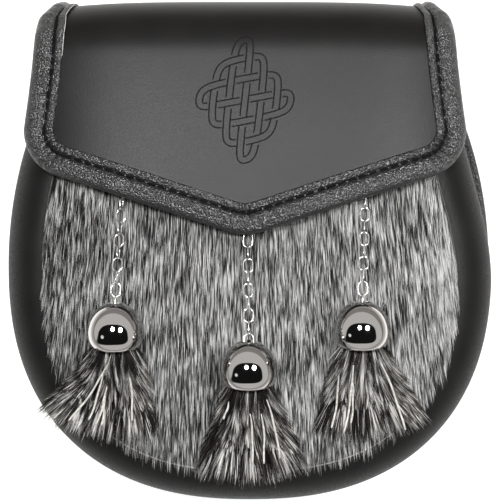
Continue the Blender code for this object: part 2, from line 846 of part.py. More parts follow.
def lock_rings(hanging, turn, reach, layer):
    """A tapered lock from inside the bell, out of its mouth and down onto the fur."""
    start = hanging.mouth + hanging.axis * LOCK_START * BELL_BELLY
    root_x = 0.30 * BELL_MOUTH_RADIUS * turn
    start = start + Vector((root_x, 0.0, (0.16 if layer else -0.20) * BELL_MOUTH_RADIUS))
    length = reach * hanging.length + LOCK_START * BELL_BELLY
    place = start.copy()
    before = 0.0
    rings = []
    for share, splay in LOCK_STATIONS:
        angle = splay * (hanging.swing + turn * hanging.spread)
        heading = Vector((math.sin(angle), -math.cos(angle), 0.0))
        side = Vector((math.cos(angle), math.sin(angle), 0.0))
        place = place + heading * length * (share - before)
        before = share
        spot = place.copy()
        thick = LOCK_ROOT_THICKNESS + (LOCK_THICKNESS - LOCK_ROOT_THICKNESS) * share
        width = LOCK_ROOT_WIDTH + (LOCK_WIDTH - LOCK_ROOT_WIDTH) * share
        corners = [fur_top(*(spot + side * width * s).xy) for s in (-0.5, 0.0, 0.5)]
        ground = max(corners) + CLEARANCE + 0.5 * thick + layer * LAYER_LIFT
        spot.z = ground + (start.z - ground) * (1.0 - smooth_step(share, 0.0, 0.90))
        up = Vector((0.0, 0.0, 1.0))
        shape = ((-0.5, 0.0), (-0.32, 0.42), (0.32, 0.42), (0.5, 0.0), (0.34, -0.5), (-0.34, -0.5))
        rings.append([spot + side * width * a + up * thick * b for a, b in shape])
    return rings


def head_rings(hanging):
    """The bound roots inside the bell."""
    axes = frame_matrix(hanging.axis, Vector((0.0, 0.0, 1.0)))
    top = BELL_HEIGHT - LINK_IN_BELL - 1.1 * EYE_RADIUS
    profile = ((0.5 * HEAD_RADIUS, top), (0.9 * HEAD_RADIUS, 0.72 * top), (HEAD_RADIUS, 0.06 * top))
    rings = []
    for radius, height in profile:
        ring = []
        for i in range(6):
            angle = math.tau * (i + 0.5) / 6
            spoke = axes @ Vector((0.0, math.cos(angle), math.sin(angle)))
            ring.append(hanging.mouth + hanging.axis * height + spoke * radius)
        rings.append(ring)
    return rings


def eye_rings(hanging):
    """The eye at the head's top, square to the link that it holds."""
    last = hanging.links - 1
    link = hanging.link_axes(last)
    along = (hanging.joints[-1] - hanging.joints[-2]).normalized()
    inside = WIRE + 0.5 * EYE_WIRE - 0.5 * WIRE + CLEARANCE - TIP_PAST_JOINT
    middle = hanging.joints[-1] - along * inside - hanging.axis * EYE_RADIUS
    across = link @ Vector((0.0, 0.0, 1.0))
    across = (across - hanging.axis * across.dot(hanging.axis)).normalized()
    line = []
    for i in range(8):
        angle = math.tau * (i + 0.5) / 8
        line.append(middle + EYE_RADIUS * (hanging.axis * math.cos(angle) + across * math.sin(angle)))
    return closed_tube(line, 0.5 * EYE_WIRE, 5)


def add_tassel(hanging):
    name = f"tassel_{hanging.side}"
    locks = [lock_rings(hanging, *row) for row in LOCKS]
    tassel = add_solid(name, *joined_rings(locks, False), "tassel_fur")
    head = add_solid(f"{name}_head", *joined_rings([head_rings(hanging)], False), "tassel_fur")
    eye = add_solid(f"{name}_eye", *joined_rings([eye_rings(hanging)], True), "tassel_fur")
    unite(tassel, [head, eye])


# The strap's fittings.


def ribbon_section(line, thickness):
    """A closed section round a line of (y, z) points."""
    normals = left_normals(line)
    half = 0.5 * thickness
    left = [(y + ny * half, z + nz * half) for (y, z), (ny, nz) in zip(line, normals)]
    right = [(y - ny * half, z - nz * half) for (y, z), (ny, nz) in zip(line, normals)]
    return left + right[::-1]


def add_strap_fittings(side, x):
    bar_radius = 0.5 * RING_WIRE
    turn_radius = bar_radius + CLEARANCE + 0.5 * BINDING_LEATHER
    bar_z = turn_radius + 0.5 * BINDING_LEATHER
    middle = 0.5 * BINDING_LEATHER
    line = [(TAB_BAR_Y - TAB_LENGTH, middle), (TAB_BAR_Y - turn_radius, middle)]
    for i in range(9):
        angle = math.radians(-90.0 + 285.0 * i / 8)
        line.append((TAB_BAR_Y + turn_radius * math.cos(angle), bar_z + turn_radius * math.sin(angle)))
    section = ribbon_section(line, BINDING_LEATHER)
    rings = [[(x + s * 0.5 * TAB_WIDTH, y, z) for y, z in section] for s in (-1.0, 1.0)]
    add_sweep(f"strap_tab_{side}", rings, "smooth_leather")

    half = 0.5 * (RING_WIDTH - RING_WIRE)
    low, high = TAB_BAR_Y, TAB_BAR_Y + RING_REACH
    loop = []
    for cx, cy, start in (
        (half, low, -90.0),
        (half, high, 0.0),
        (-half, high, 90.0),
        (-half, low, 180.0),
    ):
        mx = cx - math.copysign(RING_CORNER, cx)
        my = cy + (RING_CORNER if cy == low else -RING_CORNER)
        for i in range(3):
            angle = math.radians(start + 45.0 * i)
            bend = Vector((math.cos(angle), math.sin(angle), 0.0)) * RING_CORNER
            loop.append(Vector((x + mx, my, bar_z)) + bend)
    add_sweep(f"strap_ring_{side}", closed_tube(loop, bar_radius, 6), "steel", closed=True)


def stand_on_origin():
    """Hang every piece on one empty, so that the box's bottom middle is the origin."""
    lows = [math.inf] * 3
    highs = [-math.inf] * 3
    pieces = [o for o in bpy.data.objects if o.type == "MESH" and not o.hide_render]
    for piece in pieces:
        for vertex in piece.data.vertices:
            for axis in range(3):
                lows[axis] = min(lows[axis], vertex.co[axis])
                highs[axis] = max(highs[axis], vertex.co[axis])
    stand = bpy.data.objects.new("sporran", None)
    bpy.context.scene.collection.objects.link(stand)
    stand.location = (-0.5 * (lows[0] + highs[0]), -0.5 * (lows[1] + highs[1]), -lows[2])
    for piece in [o for o in bpy.data.objects if o.type == "MESH"]:
        piece.parent = stand


def main():
    clear_scene()
    add_back_panel()
    add_back_binding()
    add_gusset()
    add_front_panel()
    add_flap()
    add_flap_binding()
    add_stud()
    for row in HANGINGS:
        hanging = Hanging(row)
        add_anchor(hanging)
        add_chain(hanging)
        add_bell(hanging)
        add_tassel(hanging)
    add_strap_fittings("left", -RING_X)
    add_strap_fittings("right", RING_X)
    stand_on_origin()


main()
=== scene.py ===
# %% [markdown]
# This notebook dresses a dress sporran: a black leather pouch with a fur front, a bound flap, and
# three chains that end in chrome bells with fur tassels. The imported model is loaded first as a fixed
# frame. Every dressed piece is then built round the same few sizes, so it lies where the frame has it.

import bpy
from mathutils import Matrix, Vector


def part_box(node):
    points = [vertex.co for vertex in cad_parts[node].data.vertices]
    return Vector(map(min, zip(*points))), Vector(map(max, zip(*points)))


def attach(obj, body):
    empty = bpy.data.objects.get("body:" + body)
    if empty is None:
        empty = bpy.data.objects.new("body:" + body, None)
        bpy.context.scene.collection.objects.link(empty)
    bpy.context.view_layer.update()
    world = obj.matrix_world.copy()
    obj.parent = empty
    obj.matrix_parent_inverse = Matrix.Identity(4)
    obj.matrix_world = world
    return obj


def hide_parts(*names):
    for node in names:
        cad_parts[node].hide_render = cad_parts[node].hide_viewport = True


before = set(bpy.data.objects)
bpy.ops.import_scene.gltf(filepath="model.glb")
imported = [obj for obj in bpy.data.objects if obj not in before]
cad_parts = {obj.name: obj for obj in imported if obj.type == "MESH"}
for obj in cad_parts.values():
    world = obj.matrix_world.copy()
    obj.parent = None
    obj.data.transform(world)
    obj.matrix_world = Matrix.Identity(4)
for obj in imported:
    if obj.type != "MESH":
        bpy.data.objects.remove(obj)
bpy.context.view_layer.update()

import math

import bmesh
import bpy
import numpy as np
from mathutils import Matrix, Vector

MM = 0.001
print("nodes in the frame:", len(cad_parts))

# %% [markdown]
# The pouch is laid on a pale floor and seen straight from above, as a catalogue picture shows it. The
# camera is far away with a long lens, which keeps the sides of the pouch almost parallel. Round the
# pouch the floor glows and fades out further off, so no shadow darkens the picture.

# %% Camera and floor
CAMERA_Y = 0.35 * MM
CAMERA_HEIGHT = 1.10
SHARP_PLANE = 12 * MM
PICTURE_WIDTH = 197.0 * MM
SENSOR = 36.0 * MM
GLOW = 0.96
GLOW_RADIUS = 0.130
GLOW_ENDS = 0.300


def add_object(name, data):
    made = bpy.data.objects.new(name, data)
    bpy.context.scene.collection.objects.link(made)
    return made


camera_data = bpy.data.cameras.new("camera")
camera_data.sensor_width = SENSOR / MM
camera_data.lens = SENSOR * (CAMERA_HEIGHT - SHARP_PLANE) / PICTURE_WIDTH / MM
camera = add_object("camera", camera_data)
camera.location = (0.0, CAMERA_Y, CAMERA_HEIGHT)
bpy.context.scene.camera = camera
bpy.context.scene.view_settings.view_transform = "Standard"


def node(tree, kind, links=None, **settings):
    """A node with its settings. Each socket named in links takes a value or another node's socket."""
    made = tree.nodes.new(kind)
    for key, value in settings.items():
        setattr(made, key, value)
    for key, value in (links or {}).items():
        if isinstance(value, bpy.types.NodeSocket):
            tree.links.new(value, made.inputs[key])
        else:
            made.inputs[key].default_value = value
    return made


def map_range(tree, value, low, high, first=0.0, last=1.0, kind="LINEAR"):
    links = {"Value": value, "From Min": low, "From Max": high, "To Min": first, "To Max": last}
    return node(tree, "ShaderNodeMapRange", links, interpolation_type=kind).outputs["Result"]


def plain_material(name, colour, roughness, metallic=0.0, specular=0.5):
    """A Principled material, and its shader and node tree for what is added to it."""
    made = bpy.data.materials.new(name)
    made.use_nodes = True
    shader = made.node_tree.nodes["Principled BSDF"]
    shader.inputs["Base Color"].default_value = (*colour, 1.0)
    shader.inputs["Roughness"].default_value = roughness
    shader.inputs["Metallic"].default_value = metallic
    shader.inputs["Specular IOR Level"].default_value = specular
    return made, shader, made.node_tree


floor_material, floor_shader, floor_tree = plain_material("pale_floor", (0.36, 0.35, 0.34), 0.9, specular=0.1)
floor_shader.inputs["Emission Color"].default_value = (1.0, 1.0, 1.0, 1.0)
floor_place = node(floor_tree, "ShaderNodeTexCoord").outputs["Object"]
floor_reach = node(floor_tree, "ShaderNodeVectorMath", {0: floor_place}, operation="LENGTH").outputs["Value"]
floor_glow = map_range(floor_tree, floor_reach, GLOW_RADIUS, GLOW_ENDS, GLOW, 0.0, "SMOOTHSTEP")
floor_tree.links.new(floor_glow, floor_shader.inputs["Emission Strength"])
bpy.ops.mesh.primitive_plane_add(size=6.0, location=(0.0, 0.0, -0.2 * MM))
floor = bpy.context.object
floor.name = "floor"
floor.data.materials.append(floor_material)
print("the picture is", round(PICTURE_WIDTH / MM), "mm wide")

# %% [markdown]
# Polished bells show what is round them, so the light is built as in a studio: pale walls that end at a
# darker table, a dark opening overhead where the camera looks in, and three small soft boxes. Walls,
# table and opening are the world's shader. The soft boxes light the fur and the metal.

# %% The studio
WALL_LIGHT = (0.68, 0.6698, 0.6562)
TABLE_LIGHT = (0.32, 0.2976, 0.2848)
WALL_FOOT = (0.08, 0.36)  # how the line where the walls end rises with X and with Y
WALL_BLUR = 0.02
OPENING_LIGHT = (0.010, 0.010, 0.010)
OPENING_MIDDLE = (-0.050, -0.18)
OPENING_HALF = (0.90, 0.64)
OPENING_SQUARENESS = 2.6
OPENING_RIM = 0.97
SOFT_BOXES = (
    # name, place, size, watts
    ("soft_box_upper", (-0.16, 0.17, 1.05), 0.22, 10.5),
    ("soft_box_right", (0.39, 0.13, 0.98), 0.26, 10.0),
    ("soft_box_left", (-0.85, -0.30, 0.70), 0.24, 0.15),
)


def maths(tree, operation, a, b=0.0, clamp=False):
    return node(tree, "ShaderNodeMath", {0: a, 1: b}, operation=operation, use_clamp=clamp).outputs[0]


def mixed(tree, share, a, b, blend="MIX"):
    links = {"Factor": share, "A": a, "B": b}
    return node(tree, "ShaderNodeMix", links, data_type="RGBA", blend_type=blend).outputs["Result"]


world = bpy.data.worlds.new("studio")
bpy.context.scene.world = world
world.use_nodes = True
sky = world.node_tree
ray = node(sky, "ShaderNodeSeparateXYZ", {0: node(sky, "ShaderNodeTexCoord").outputs["Generated"]}).outputs


def opening_share(axis, middle, half):
    """How far a direction is from the opening's middle along one axis, raised for a squarish outline."""
    offset = maths(sky, "ABSOLUTE", maths(sky, "SUBTRACT", ray[axis], middle))
    return maths(sky, "POWER", maths(sky, "DIVIDE", offset, half), OPENING_SQUARENESS)


foot = maths(sky, "ADD", *(maths(sky, "MULTIPLY", ray[axis], slope) for axis, slope in zip("XY", WALL_FOOT)))
is_wall = map_range(sky, maths(sky, "SUBTRACT", ray["Z"], foot), -WALL_BLUR, WALL_BLUR)
walls = mixed(sky, is_wall, (*TABLE_LIGHT, 1.0), (*WALL_LIGHT, 1.0))
shares = [opening_share(*row) for row in zip("XY", OPENING_MIDDLE, OPENING_HALF)]
away = maths(sky, "POWER", maths(sky, "ADD", *shares), 1.0 / OPENING_SQUARENESS)
above = maths(sky, "GREATER_THAN", ray["Z"], 0.0)
is_opening = maths(sky, "MULTIPLY", map_range(sky, away, OPENING_RIM, 1.0, 1.0, 0.0), above)
studio = mixed(sky, is_opening, walls, (*OPENING_LIGHT, 1.0))
sky.links.new(studio, sky.nodes["Background"].inputs["Color"])

for name, place, size, watts in SOFT_BOXES:
    light = bpy.data.lights.new(name, "AREA")
    light.shape = "DISK"
    light.size = size
    light.energy = watts
    lamp = add_object(name, light)
    lamp.location = place
    lamp.rotation_euler = (-Vector(place)).to_track_quat("-Z", "Y").to_euler()
print("soft boxes:", len(SOFT_BOXES))

# %% [markdown]
# A pouch is drawn before it is sewn. These are the sizes that a pattern cutter would write down, in
# millimetres. The back's outline is half an ellipse above its widest line and a squarer curve below.

# %% Sizes of the pouch
BODY_WIDTH = 189.6 * MM
BODY_DROP = 93.0 * MM
BODY_RISE = 125.0 * MM
BODY_SQUARENESS = 2.37
WIDEST_Y = -4.8 * MM
LEAN = 1.9 * MM
SHOULDER_NARROWING = 2.1 * MM
LEAN_STARTS_Y = -15.0 * MM
LEAN_FULL_Y = 35.0 * MM

back_low, back_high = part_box("back_binding")
BASE = Vector((0.5 * (back_low.x + back_high.x), back_low.y - (WIDEST_Y - BODY_DROP), 0.0))
panel_low, panel_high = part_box("back_panel")
gusset_low, gusset_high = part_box("gusset")
INSIDE_Z = gusset_low.z
GUSSET_TOP_Z = gusset_high.z
FRONT_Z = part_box("front_panel")[0].z
POUCH_DEPTH = GUSSET_TOP_Z - INSIDE_Z
BAND_WIDTH = 14.5 * MM
BAND_NARROWING_BELOW = 2.0 * MM
print("the maker's drawing is moved by", [round(v / MM, 2) for v in BASE], "mm onto the frame")


def smooth_step(value, low, high):
    share = np.clip((value - low) / (high - low), 0.0, 1.0)
    return share * share * (3.0 - 2.0 * share)


def resample(line, count):
    """count points at equal steps along a line of points."""
    line = np.asarray(line, float)
    steps = np.linalg.norm(np.diff(line, axis=0), axis=1)
    reach = np.concatenate(([0.0], np.cumsum(steps)))
    places = np.linspace(0.0, reach[-1], count)
    return np.stack([np.interp(places, reach, line[:, k]) for k in range(line.shape[1])], axis=1)


def left_normals(line):
    along = np.gradient(np.asarray(line, float), axis=0)
    along /= np.linalg.norm(along, axis=1)[:, None]
    return np.stack([-along[:, 1], along[:, 0]], axis=1)


def outline(top_y, stations):
    """The back's outline, from its upper left end round the bottom to its upper right end."""
    half = 0.5 * BODY_WIDTH
    top = math.asin((top_y - WIDEST_Y) / BODY_RISE)
    rise = np.linspace(top, 0.0, 120, endpoint=False)
    upper = np.stack([-half * np.cos(rise), WIDEST_Y + BODY_RISE * np.sin(rise)], axis=1)
    turn = np.linspace(0.0, math.pi, 400)
    power = 2.0 / BODY_SQUARENESS
    lower = np.stack(
        [
            -half * np.sign(np.cos(turn)) * np.abs(np.cos(turn)) ** power,
            WIDEST_Y - BODY_DROP * np.abs(np.sin(turn)) ** power,
        ],
        axis=1,
    )
    mirrored = upper[::-1] * np.array([-1.0, 1.0])
    return resample(np.concatenate([upper, lower, mirrored]), stations)


def front_line(top_y, stations):
    """The same outline as the gusset and the front follow it: narrower above, and leaning."""
    line = outline(top_y, stations)
    share = smooth_step(line[:, 1], LEAN_STARTS_Y, LEAN_FULL_Y)[:, None]
    moved = line + left_normals(line) * SHOULDER_NARROWING * share
    return moved - np.array([LEAN, 0.0]) * share


# %% [markdown]
# Most pieces of leather are a section carried along a line, so one helper turns rows of points into a
# closed mesh. It also writes a UV map in metres, which lets grain and stitches follow the leather.

# %% Mesh helpers
SHARP_ANGLE = math.radians(50.0)


def add_piece(name, mesh_points, faces, material, uvs=None, smooth=True):
    """A mesh object at the origin, its points in the maker's drawing moved onto the frame."""
    points = np.asarray(mesh_points, float).reshape(-1, 3) + np.array(BASE)
    mesh = bpy.data.meshes.new(name)
    mesh.from_pydata(points.tolist(), [], faces)
    if uvs is not None:
        layer = mesh.uv_layers.new(name="leather")
        layer.data.foreach_set("uv", np.asarray(uvs, float).ravel())
    mesh.polygons.foreach_set("use_smooth", [smooth] * len(mesh.polygons))
    if material is not None:
        mesh.materials.append(material)
    return add_object(name, mesh)


def swept(rings, closed_along=False):
    """Points, faces and UVs of a closed section (the second axis) carried along rows."""
    rings = np.asarray(rings, float)
    rows, around = rings.shape[:2]
    girth = np.linalg.norm(np.diff(np.concatenate([rings, rings[:, :1]], axis=1), axis=1), axis=2)
    v = np.concatenate([np.zeros((rows, 1)), np.cumsum(girth, axis=1)], axis=1).mean(axis=0)
    step = np.linalg.norm(np.diff(np.concatenate([rings, rings[:1]]), axis=0), axis=2).mean(axis=1)
    u = np.concatenate([[0.0], np.cumsum(step)])
    faces = []
    uvs = []
    last = rows if closed_along else rows - 1
    for i in range(last):
        k = (i + 1) % rows
        for j in range(around):
            m = (j + 1) % around
            faces.append((i * around + j, i * around + m, k * around + m, k * around + j))
            uvs += [(u[i], v[j]), (u[i], v[j + 1]), (u[i + 1], v[j + 1]), (u[i + 1], v[j])]
    if not closed_along:
        faces.append(tuple(range(around))[::-1])
        uvs += [(0.0, 0.0)] * around
        faces.append(tuple((rows - 1) * around + j for j in range(around)))
        uvs += [(0.0, 0.0)] * around
    return rings.reshape(-1, 3), faces, uvs


def face_outwards(piece):
    """Turns a closed shell's faces out."""
    shape = bmesh.new()
    shape.from_mesh(piece.data)
    bmesh.ops.recalc_face_normals(shape, faces=shape.faces)
    if shape.calc_volume(signed=True) < 0.0:
        bmesh.ops.reverse_faces(shape, faces=shape.faces)
    shape.to_mesh(piece.data)
    shape.free()


def add_swept(name, rings, material, closed_along=False):
    points, faces, uvs = swept(rings, closed_along)
    piece = add_piece(name, points, faces, material, uvs)
    face_outwards(piece)
    piece.data.set_sharp_from_angle(angle=SHARP_ANGLE)
    return piece


def add_shells(name, ring_sets, material, smooth=True):
    """Several closed sections, each carried along its own rows, as one mesh."""
    points, faces = [], []
    for rings in ring_sets:
        made, shell, _ = swept(rings)
        faces += [tuple(len(points) + corner for corner in face) for face in shell]
        points += made.tolist()
    piece = add_piece(name, points, faces, material, smooth=smooth)
    face_outwards(piece)
    return piece


def smooth_section(corners, count):
    """A smooth curve through a section's corners (Catmull-Rom), read at equal steps."""
    p = np.asarray(corners, float)
    p = np.concatenate([2.0 * p[:1] - p[1:2], p, 2.0 * p[-1:] - p[-2:-1]])
    t = np.linspace(0.0, 1.0, 12, endpoint=False)[:, None]
    curve = []
    for a, b, c, d in zip(p, p[1:], p[2:], p[3:]):
        square = 2.0 * a - 5.0 * b + 4.0 * c - d
        cube = 3.0 * b - a - 3.0 * c + d
        curve.append(0.5 * (2.0 * b + (c - a) * t + square * t**2 + cube * t**3))
    return resample(np.concatenate(curve + [p[-2:-1]]), count)


def settle(piece, slot, *nodes):
    """Hands a finished piece to the frame: hides the nodes that it stands for and hangs it on the root body.
    The slot is not used.
    """
    if nodes:
        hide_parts(*nodes)
    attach(piece, "root")


print("helpers ready")

# %% [markdown]
# Two leathers make the pouch. The flap, gusset and back are smooth hide: almost black, with a pore
# grain too fine to see except as a soft break in the sheen. The bindings are pebbled: cells of about
# two thirds of a millimetre with glossy tops, made as bump from a Voronoi pattern with warped cells.
# Their colour is painted lighter on the tops and darker in the valleys: painted light and painted shade.

# %% Leathers
PEBBLE_WARP = (0.35 * MM,) * 3
PEBBLES = 1500.0  # cells in a metre, as are the scales of all the grain below


def object_metres(tree):
    return node(tree, "ShaderNodeTexCoord").outputs["Object"]


def noise(tree, vector, scale, detail=3.0, output="Fac"):
    links = {"Vector": vector, "Scale": scale, "Detail": detail}
    return node(tree, "ShaderNodeTexNoise", links).outputs[output]


def ramp(tree, value, stops):
    made = node(tree, "ShaderNodeValToRGB", {"Fac": value})
    while len(made.color_ramp.elements) < len(stops):
        made.color_ramp.elements.new(0.5)
    for element, (place, colour) in zip(made.color_ramp.elements, stops):
        element.position = place
        element.color = (*colour, 1.0)
    return made.outputs["Color"]


def shades(colour, *shares):
    return [[c * share for c in colour] for share in shares]


def bump(tree, shader, *heights):
    """Bumps one over another, each a height socket, a depth in metres and a strength."""
    below = {}
    for height, depth, strength in heights:
        links = {"Height": height, "Distance": depth, "Strength": strength, **below}
        below = {"Normal": node(tree, "ShaderNodeBump", links).outputs["Normal"]}
    tree.links.new(below["Normal"], shader.inputs["Normal"])


def mottle(tree, shader, socket, scale, low, high, detail=3.0):
    """Lets a socket of a shader wander between two values."""
    wander = noise(tree, object_metres(tree), scale, detail)
    tree.links.new(ramp(tree, wander, ((0.3, low), (0.7, high))), shader.inputs[socket])


def mottled_material(name, colour, roughness, scale, low, high, specular=0.5):
    made, shader, tree = plain_material(name, colour, roughness, specular=specular)
    mottle(tree, shader, "Base Color", scale, low, high)
    return made


def bumped_material(name, colour, roughness, scale, depth, strength, specular=0.5):
    made, shader, tree = plain_material(name, colour, roughness, specular=specular)
    bump(tree, shader, (noise(tree, object_metres(tree), scale), depth, strength))
    return made


def metal(name, colour, roughness, scale, low, high):
    """A metal whose polish is a little uneven."""
    made, shader, tree = plain_material(name, colour, roughness, metallic=1.0)
    mottle(tree, shader, "Roughness", scale, (low,) * 3, (high,) * 3)
    return made


def smooth_leather(name, colour, roughness, ior=1.40, grain=0.03):
    made, shader, tree = plain_material(name, colour, roughness)
    shader.inputs["IOR"].default_value = ior
    mottle(tree, shader, "Base Color", 60.0, *shades(colour, 0.75, 1.35), 4.0)
    mottle(tree, shader, "Roughness", 1500.0, (roughness - grain,) * 3, (roughness + grain,) * 3, 2.0)
    metres = object_metres(tree)
    pores = node(tree, "ShaderNodeTexVoronoi", {"Vector": metres, "Scale": 2600.0}, feature="F1")
    bump(
        tree,
        shader,
        (noise(tree, metres, 70.0, 2.0), 0.10 * MM, 0.25),
        (noise(tree, metres, 1500.0, 2.0), 0.06 * MM, 0.5),
        (pores.outputs["Distance"], 0.04 * MM, 0.7),
    )
    return made


def pebbled_leather(name, colour, roughness):
    made, shader, tree = plain_material(name, colour, roughness, specular=0.85)
    metres = object_metres(tree)
    jitter = noise(tree, metres, 900.0, 2.0, "Color")
    links = {0: jitter, 1: PEBBLE_WARP, 2: metres}
    warped = node(tree, "ShaderNodeVectorMath", links, operation="MULTIPLY_ADD").outputs["Vector"]
    links = {"Vector": warped, "Scale": PEBBLES, "Smoothness": 0.25}
    valleys = node(tree, "ShaderNodeTexVoronoi", links, feature="SMOOTH_F1").outputs["Distance"]
    # Painted light on the pebbles' tops and painted shade in the valleys between them.
    top, valley_painted_shade = shades(colour, 1.5, 0.35)
    tree.links.new(ramp(tree, valleys, ((0.25, top), (0.75, valley_painted_shade))), shader.inputs["Base Color"])
    tops = maths(tree, "SUBTRACT", 1.0, valleys)
    bump(tree, shader, (noise(tree, metres, 300.0, 2.0), 0.2 * MM, 0.3), (tops, 0.42 * MM, 1.0))
    return made


flap_leather = smooth_leather("flap_leather", (0.0036, 0.0033, 0.0031), 0.42, 1.30)
gusset_leather = smooth_leather("gusset_leather", (0.0056, 0.0054, 0.0052), 0.52, 1.26, 0.12)
back_leather = smooth_leather("back_leather", (0.0060, 0.0056, 0.0053), 0.55)
binding_leather = pebbled_leather("binding_leather", (0.0088, 0.0088, 0.0090), 0.35)
print("leathers ready")

# %% [markdown]
# The gusset is the moulded wall between back and front. Its section bulges past the back and turns in
# under the fur. A smooth curve through the section's few corners, carried round the outline, gives the
# highlights of one worked piece of leather.

# %% Gusset
LEATHER = 1.8 * MM
GUSSET_TOP_Y = 64.0 * MM
GUSSET_SECTION = (
    (0.85, 0.000),
    (0.42, 0.000),
    (0.38, 0.055),
    (0.11, 0.185),
    (0.02, 0.380),
    (0.06, 0.590),
    (0.25, 0.780),
    (0.55, 0.925),
    (0.90, 0.994),
    (1.32, 1.000),
)


def leather_wall(outer, thickness):
    """A closed section from an outer face of (inset, z) and the same face moved in."""
    normals = left_normals(outer)
    inner = outer - normals * thickness
    return np.concatenate([outer, inner[::-1]])


def carry(line, section):
    """Rings of a section of (inset, z) carried along a line of (x, y)."""
    normals = left_normals(line)
    xy = line[:, None, :] + normals[:, None, :] * section[None, :, :1]
    z = np.broadcast_to(section[None, :, 1:], (len(line), len(section), 1))
    return np.concatenate([xy, z], axis=2)


def add_gusset():
    corners = [(a * BAND_WIDTH, INSIDE_Z + b * POUCH_DEPTH) for a, b in GUSSET_SECTION]
    section = leather_wall(smooth_section(corners, 34), LEATHER)
    line = front_line(GUSSET_TOP_Y, 220)
    rings = carry(line, section)
    return add_swept("gusset_wall", rings, gusset_leather)


gusset = add_gusset()
settle(gusset, "smooth_leather", "gusset")
print("gusset faces:", len(gusset.data.polygons))

# %% [markdown]
# Behind the gusset lies the flat back with a pebbled channel folded round its edge. At the upper right
# the channel shows past the gusset as a narrow grained strip.

# %% Back panel and its binding
BACK_TOP_Y = 73.0 * MM
BACK_LIP = 5.0 * MM
BINDING_LEATHER = 1.2 * MM
CLEARANCE = 0.3 * MM


def add_back_panel():
    inset = 0.5 * BACK_LIP - 2.0 * CLEARANCE
    line = outline(BACK_TOP_Y, 200)
    edge = line + left_normals(line) * inset
    soft = 0.4 * MM
    low, high = panel_low.z, panel_high.z
    rings = []
    for moved, z in ((soft, low), (0.0, low + soft), (0.0, high - soft), (soft, high)):
        rings.append([(x, y, z) for x, y in edge + left_normals(line) * moved])
    return add_swept("back_leather_panel", rings, back_leather)


def add_back_binding():
    lip, thick = BACK_LIP, BINDING_LEATHER
    top = INSIDE_Z + thick
    seat = 0.5 * lip - 3.0 * CLEARANCE
    outer = [
        (lip, top - 0.1 * MM),
        (lip - 0.3 * MM, top),
        (0.30 * lip, top),
        (0.07 * lip, 0.86 * top),
        (0.0, 0.60 * top),
        (0.0, 0.36 * top),
        (0.06 * lip, 0.12 * top),
        (0.20 * lip, 0.0),
        (1.26 * lip, 0.0),
        (1.30 * lip, 0.1 * MM),
    ]
    inner = [(1.30 * lip, thick), (seat, thick), (seat, INSIDE_Z), (lip, INSIDE_Z)]
    line = outline(BACK_TOP_Y - lip, 240)
    return add_swept("back_edge_binding", carry(line, np.array(outer + inner)), binding_leather)


back_panel = add_back_panel()
settle(back_panel, "smooth_leather", "back_panel")
back_binding = add_back_binding()
settle(back_binding, "pebbled_leather", "back_binding")
print("back made")

# %% [markdown]
# The front is a piece of hide with its pile. The hide is a thin crowned sheet with a pale raw edge.
# The pile comes next, as hair.

# %% The front's hide
FRONT_TOP_Y = 61.5 * MM
FRONT_MARGIN = 0.5 * MM
HIDE = 1.2 * MM
PILE = 2.4 * MM
FRONT_CROWN = 3.5 * MM
RIM_ROUNDING = 0.06  # share of the way to the middle over which the hide rises from its rim
HIDE_RISE = 0.55  # how far the hide stands up into the pile, as a share of it
GROWING_RISE = 0.60  # the same for the surface that hair grows from


def front_edge():
    line = front_line(FRONT_TOP_Y, 240)
    normals = left_normals(line)
    inset = BAND_WIDTH + FRONT_MARGIN - BAND_NARROWING_BELOW * np.maximum(0.0, normals[:, 1])
    return line + normals * inset[:, None]


edge_points = front_edge()
FRONT_MIDDLE = 0.5 * (edge_points.min(axis=0) + edge_points.max(axis=0))
FRONT_HALF = 0.5 * (edge_points.max(axis=0) - edge_points.min(axis=0))


def crown(x, y):
    away = ((x - FRONT_MIDDLE[0]) / FRONT_HALF[0]) ** 2 + ((y - FRONT_MIDDLE[1]) / FRONT_HALF[1]) ** 2
    return FRONT_CROWN * (1.0 - np.minimum(1.0, away))


def fur_top(x, y):
    """Height of the laid pile's surface."""
    return FRONT_Z + HIDE + PILE + crown(x, y)


def rim_lift(xy, share, pile):
    """Height over the rim, on a ring at a share of the outline, with a share of the pile under it."""
    return smooth_step(1.0 - share, 0.0, RIM_ROUNDING) * (pile * PILE + crown(xy[:, 0], xy[:, 1]))


skin_material = mottled_material("fur_skin", (0.035, 0.034, 0.033), 0.9, 900.0, (0.012,) * 3, (0.05,) * 3)
hide_edge_material = mottled_material(
    "raw_hide_edge", (0.30, 0.28, 0.25), 0.8, 700.0, (0.16, 0.15, 0.14), (0.46, 0.44, 0.40)
)


def add_front_hide():
    """A closed sheet: flat under, crowned over, its rim in raw hide."""
    middle = FRONT_MIDDLE
    shares = (1.0, 0.999, 0.985, 0.94, 0.86, 0.74, 0.6, 0.45, 0.3, 0.15)
    rings = [np.concatenate([edge_points, np.full((len(edge_points), 1), FRONT_Z)], axis=1)]
    for share in shares:
        xy = middle + (edge_points - middle) * share
        z = FRONT_Z + HIDE * (0.85 if share == 1.0 else 1.0) + rim_lift(xy, share, HIDE_RISE)
        rings.append(np.concatenate([xy, z[:, None]], axis=1))
    piece = add_swept("front_hide", rings, skin_material)
    piece.data.materials.append(hide_edge_material)
    around = len(edge_points)
    for k, polygon in enumerate(piece.data.polygons):
        if k < 2 * around:
            polygon.material_index = 1
    return piece


front_hide = add_front_hide()
settle(front_hide, "grey_fur", "front_panel")
print("front hide faces:", len(front_hide.data.polygons))

# %% [markdown]
# Fur reads as fur when single hairs cast shade on each other. Each hair is a closed three-sided spike,
# of four triangles where it is straight and ten where it bends. Geometry Nodes scatter it over the hide:
# they draw points, lean each hair down the pouch with a little disorder, and store a tone for it. The
# pile has three layers, so each mesh stays small: a dark undercoat, a middle coat, and pale guard hairs.

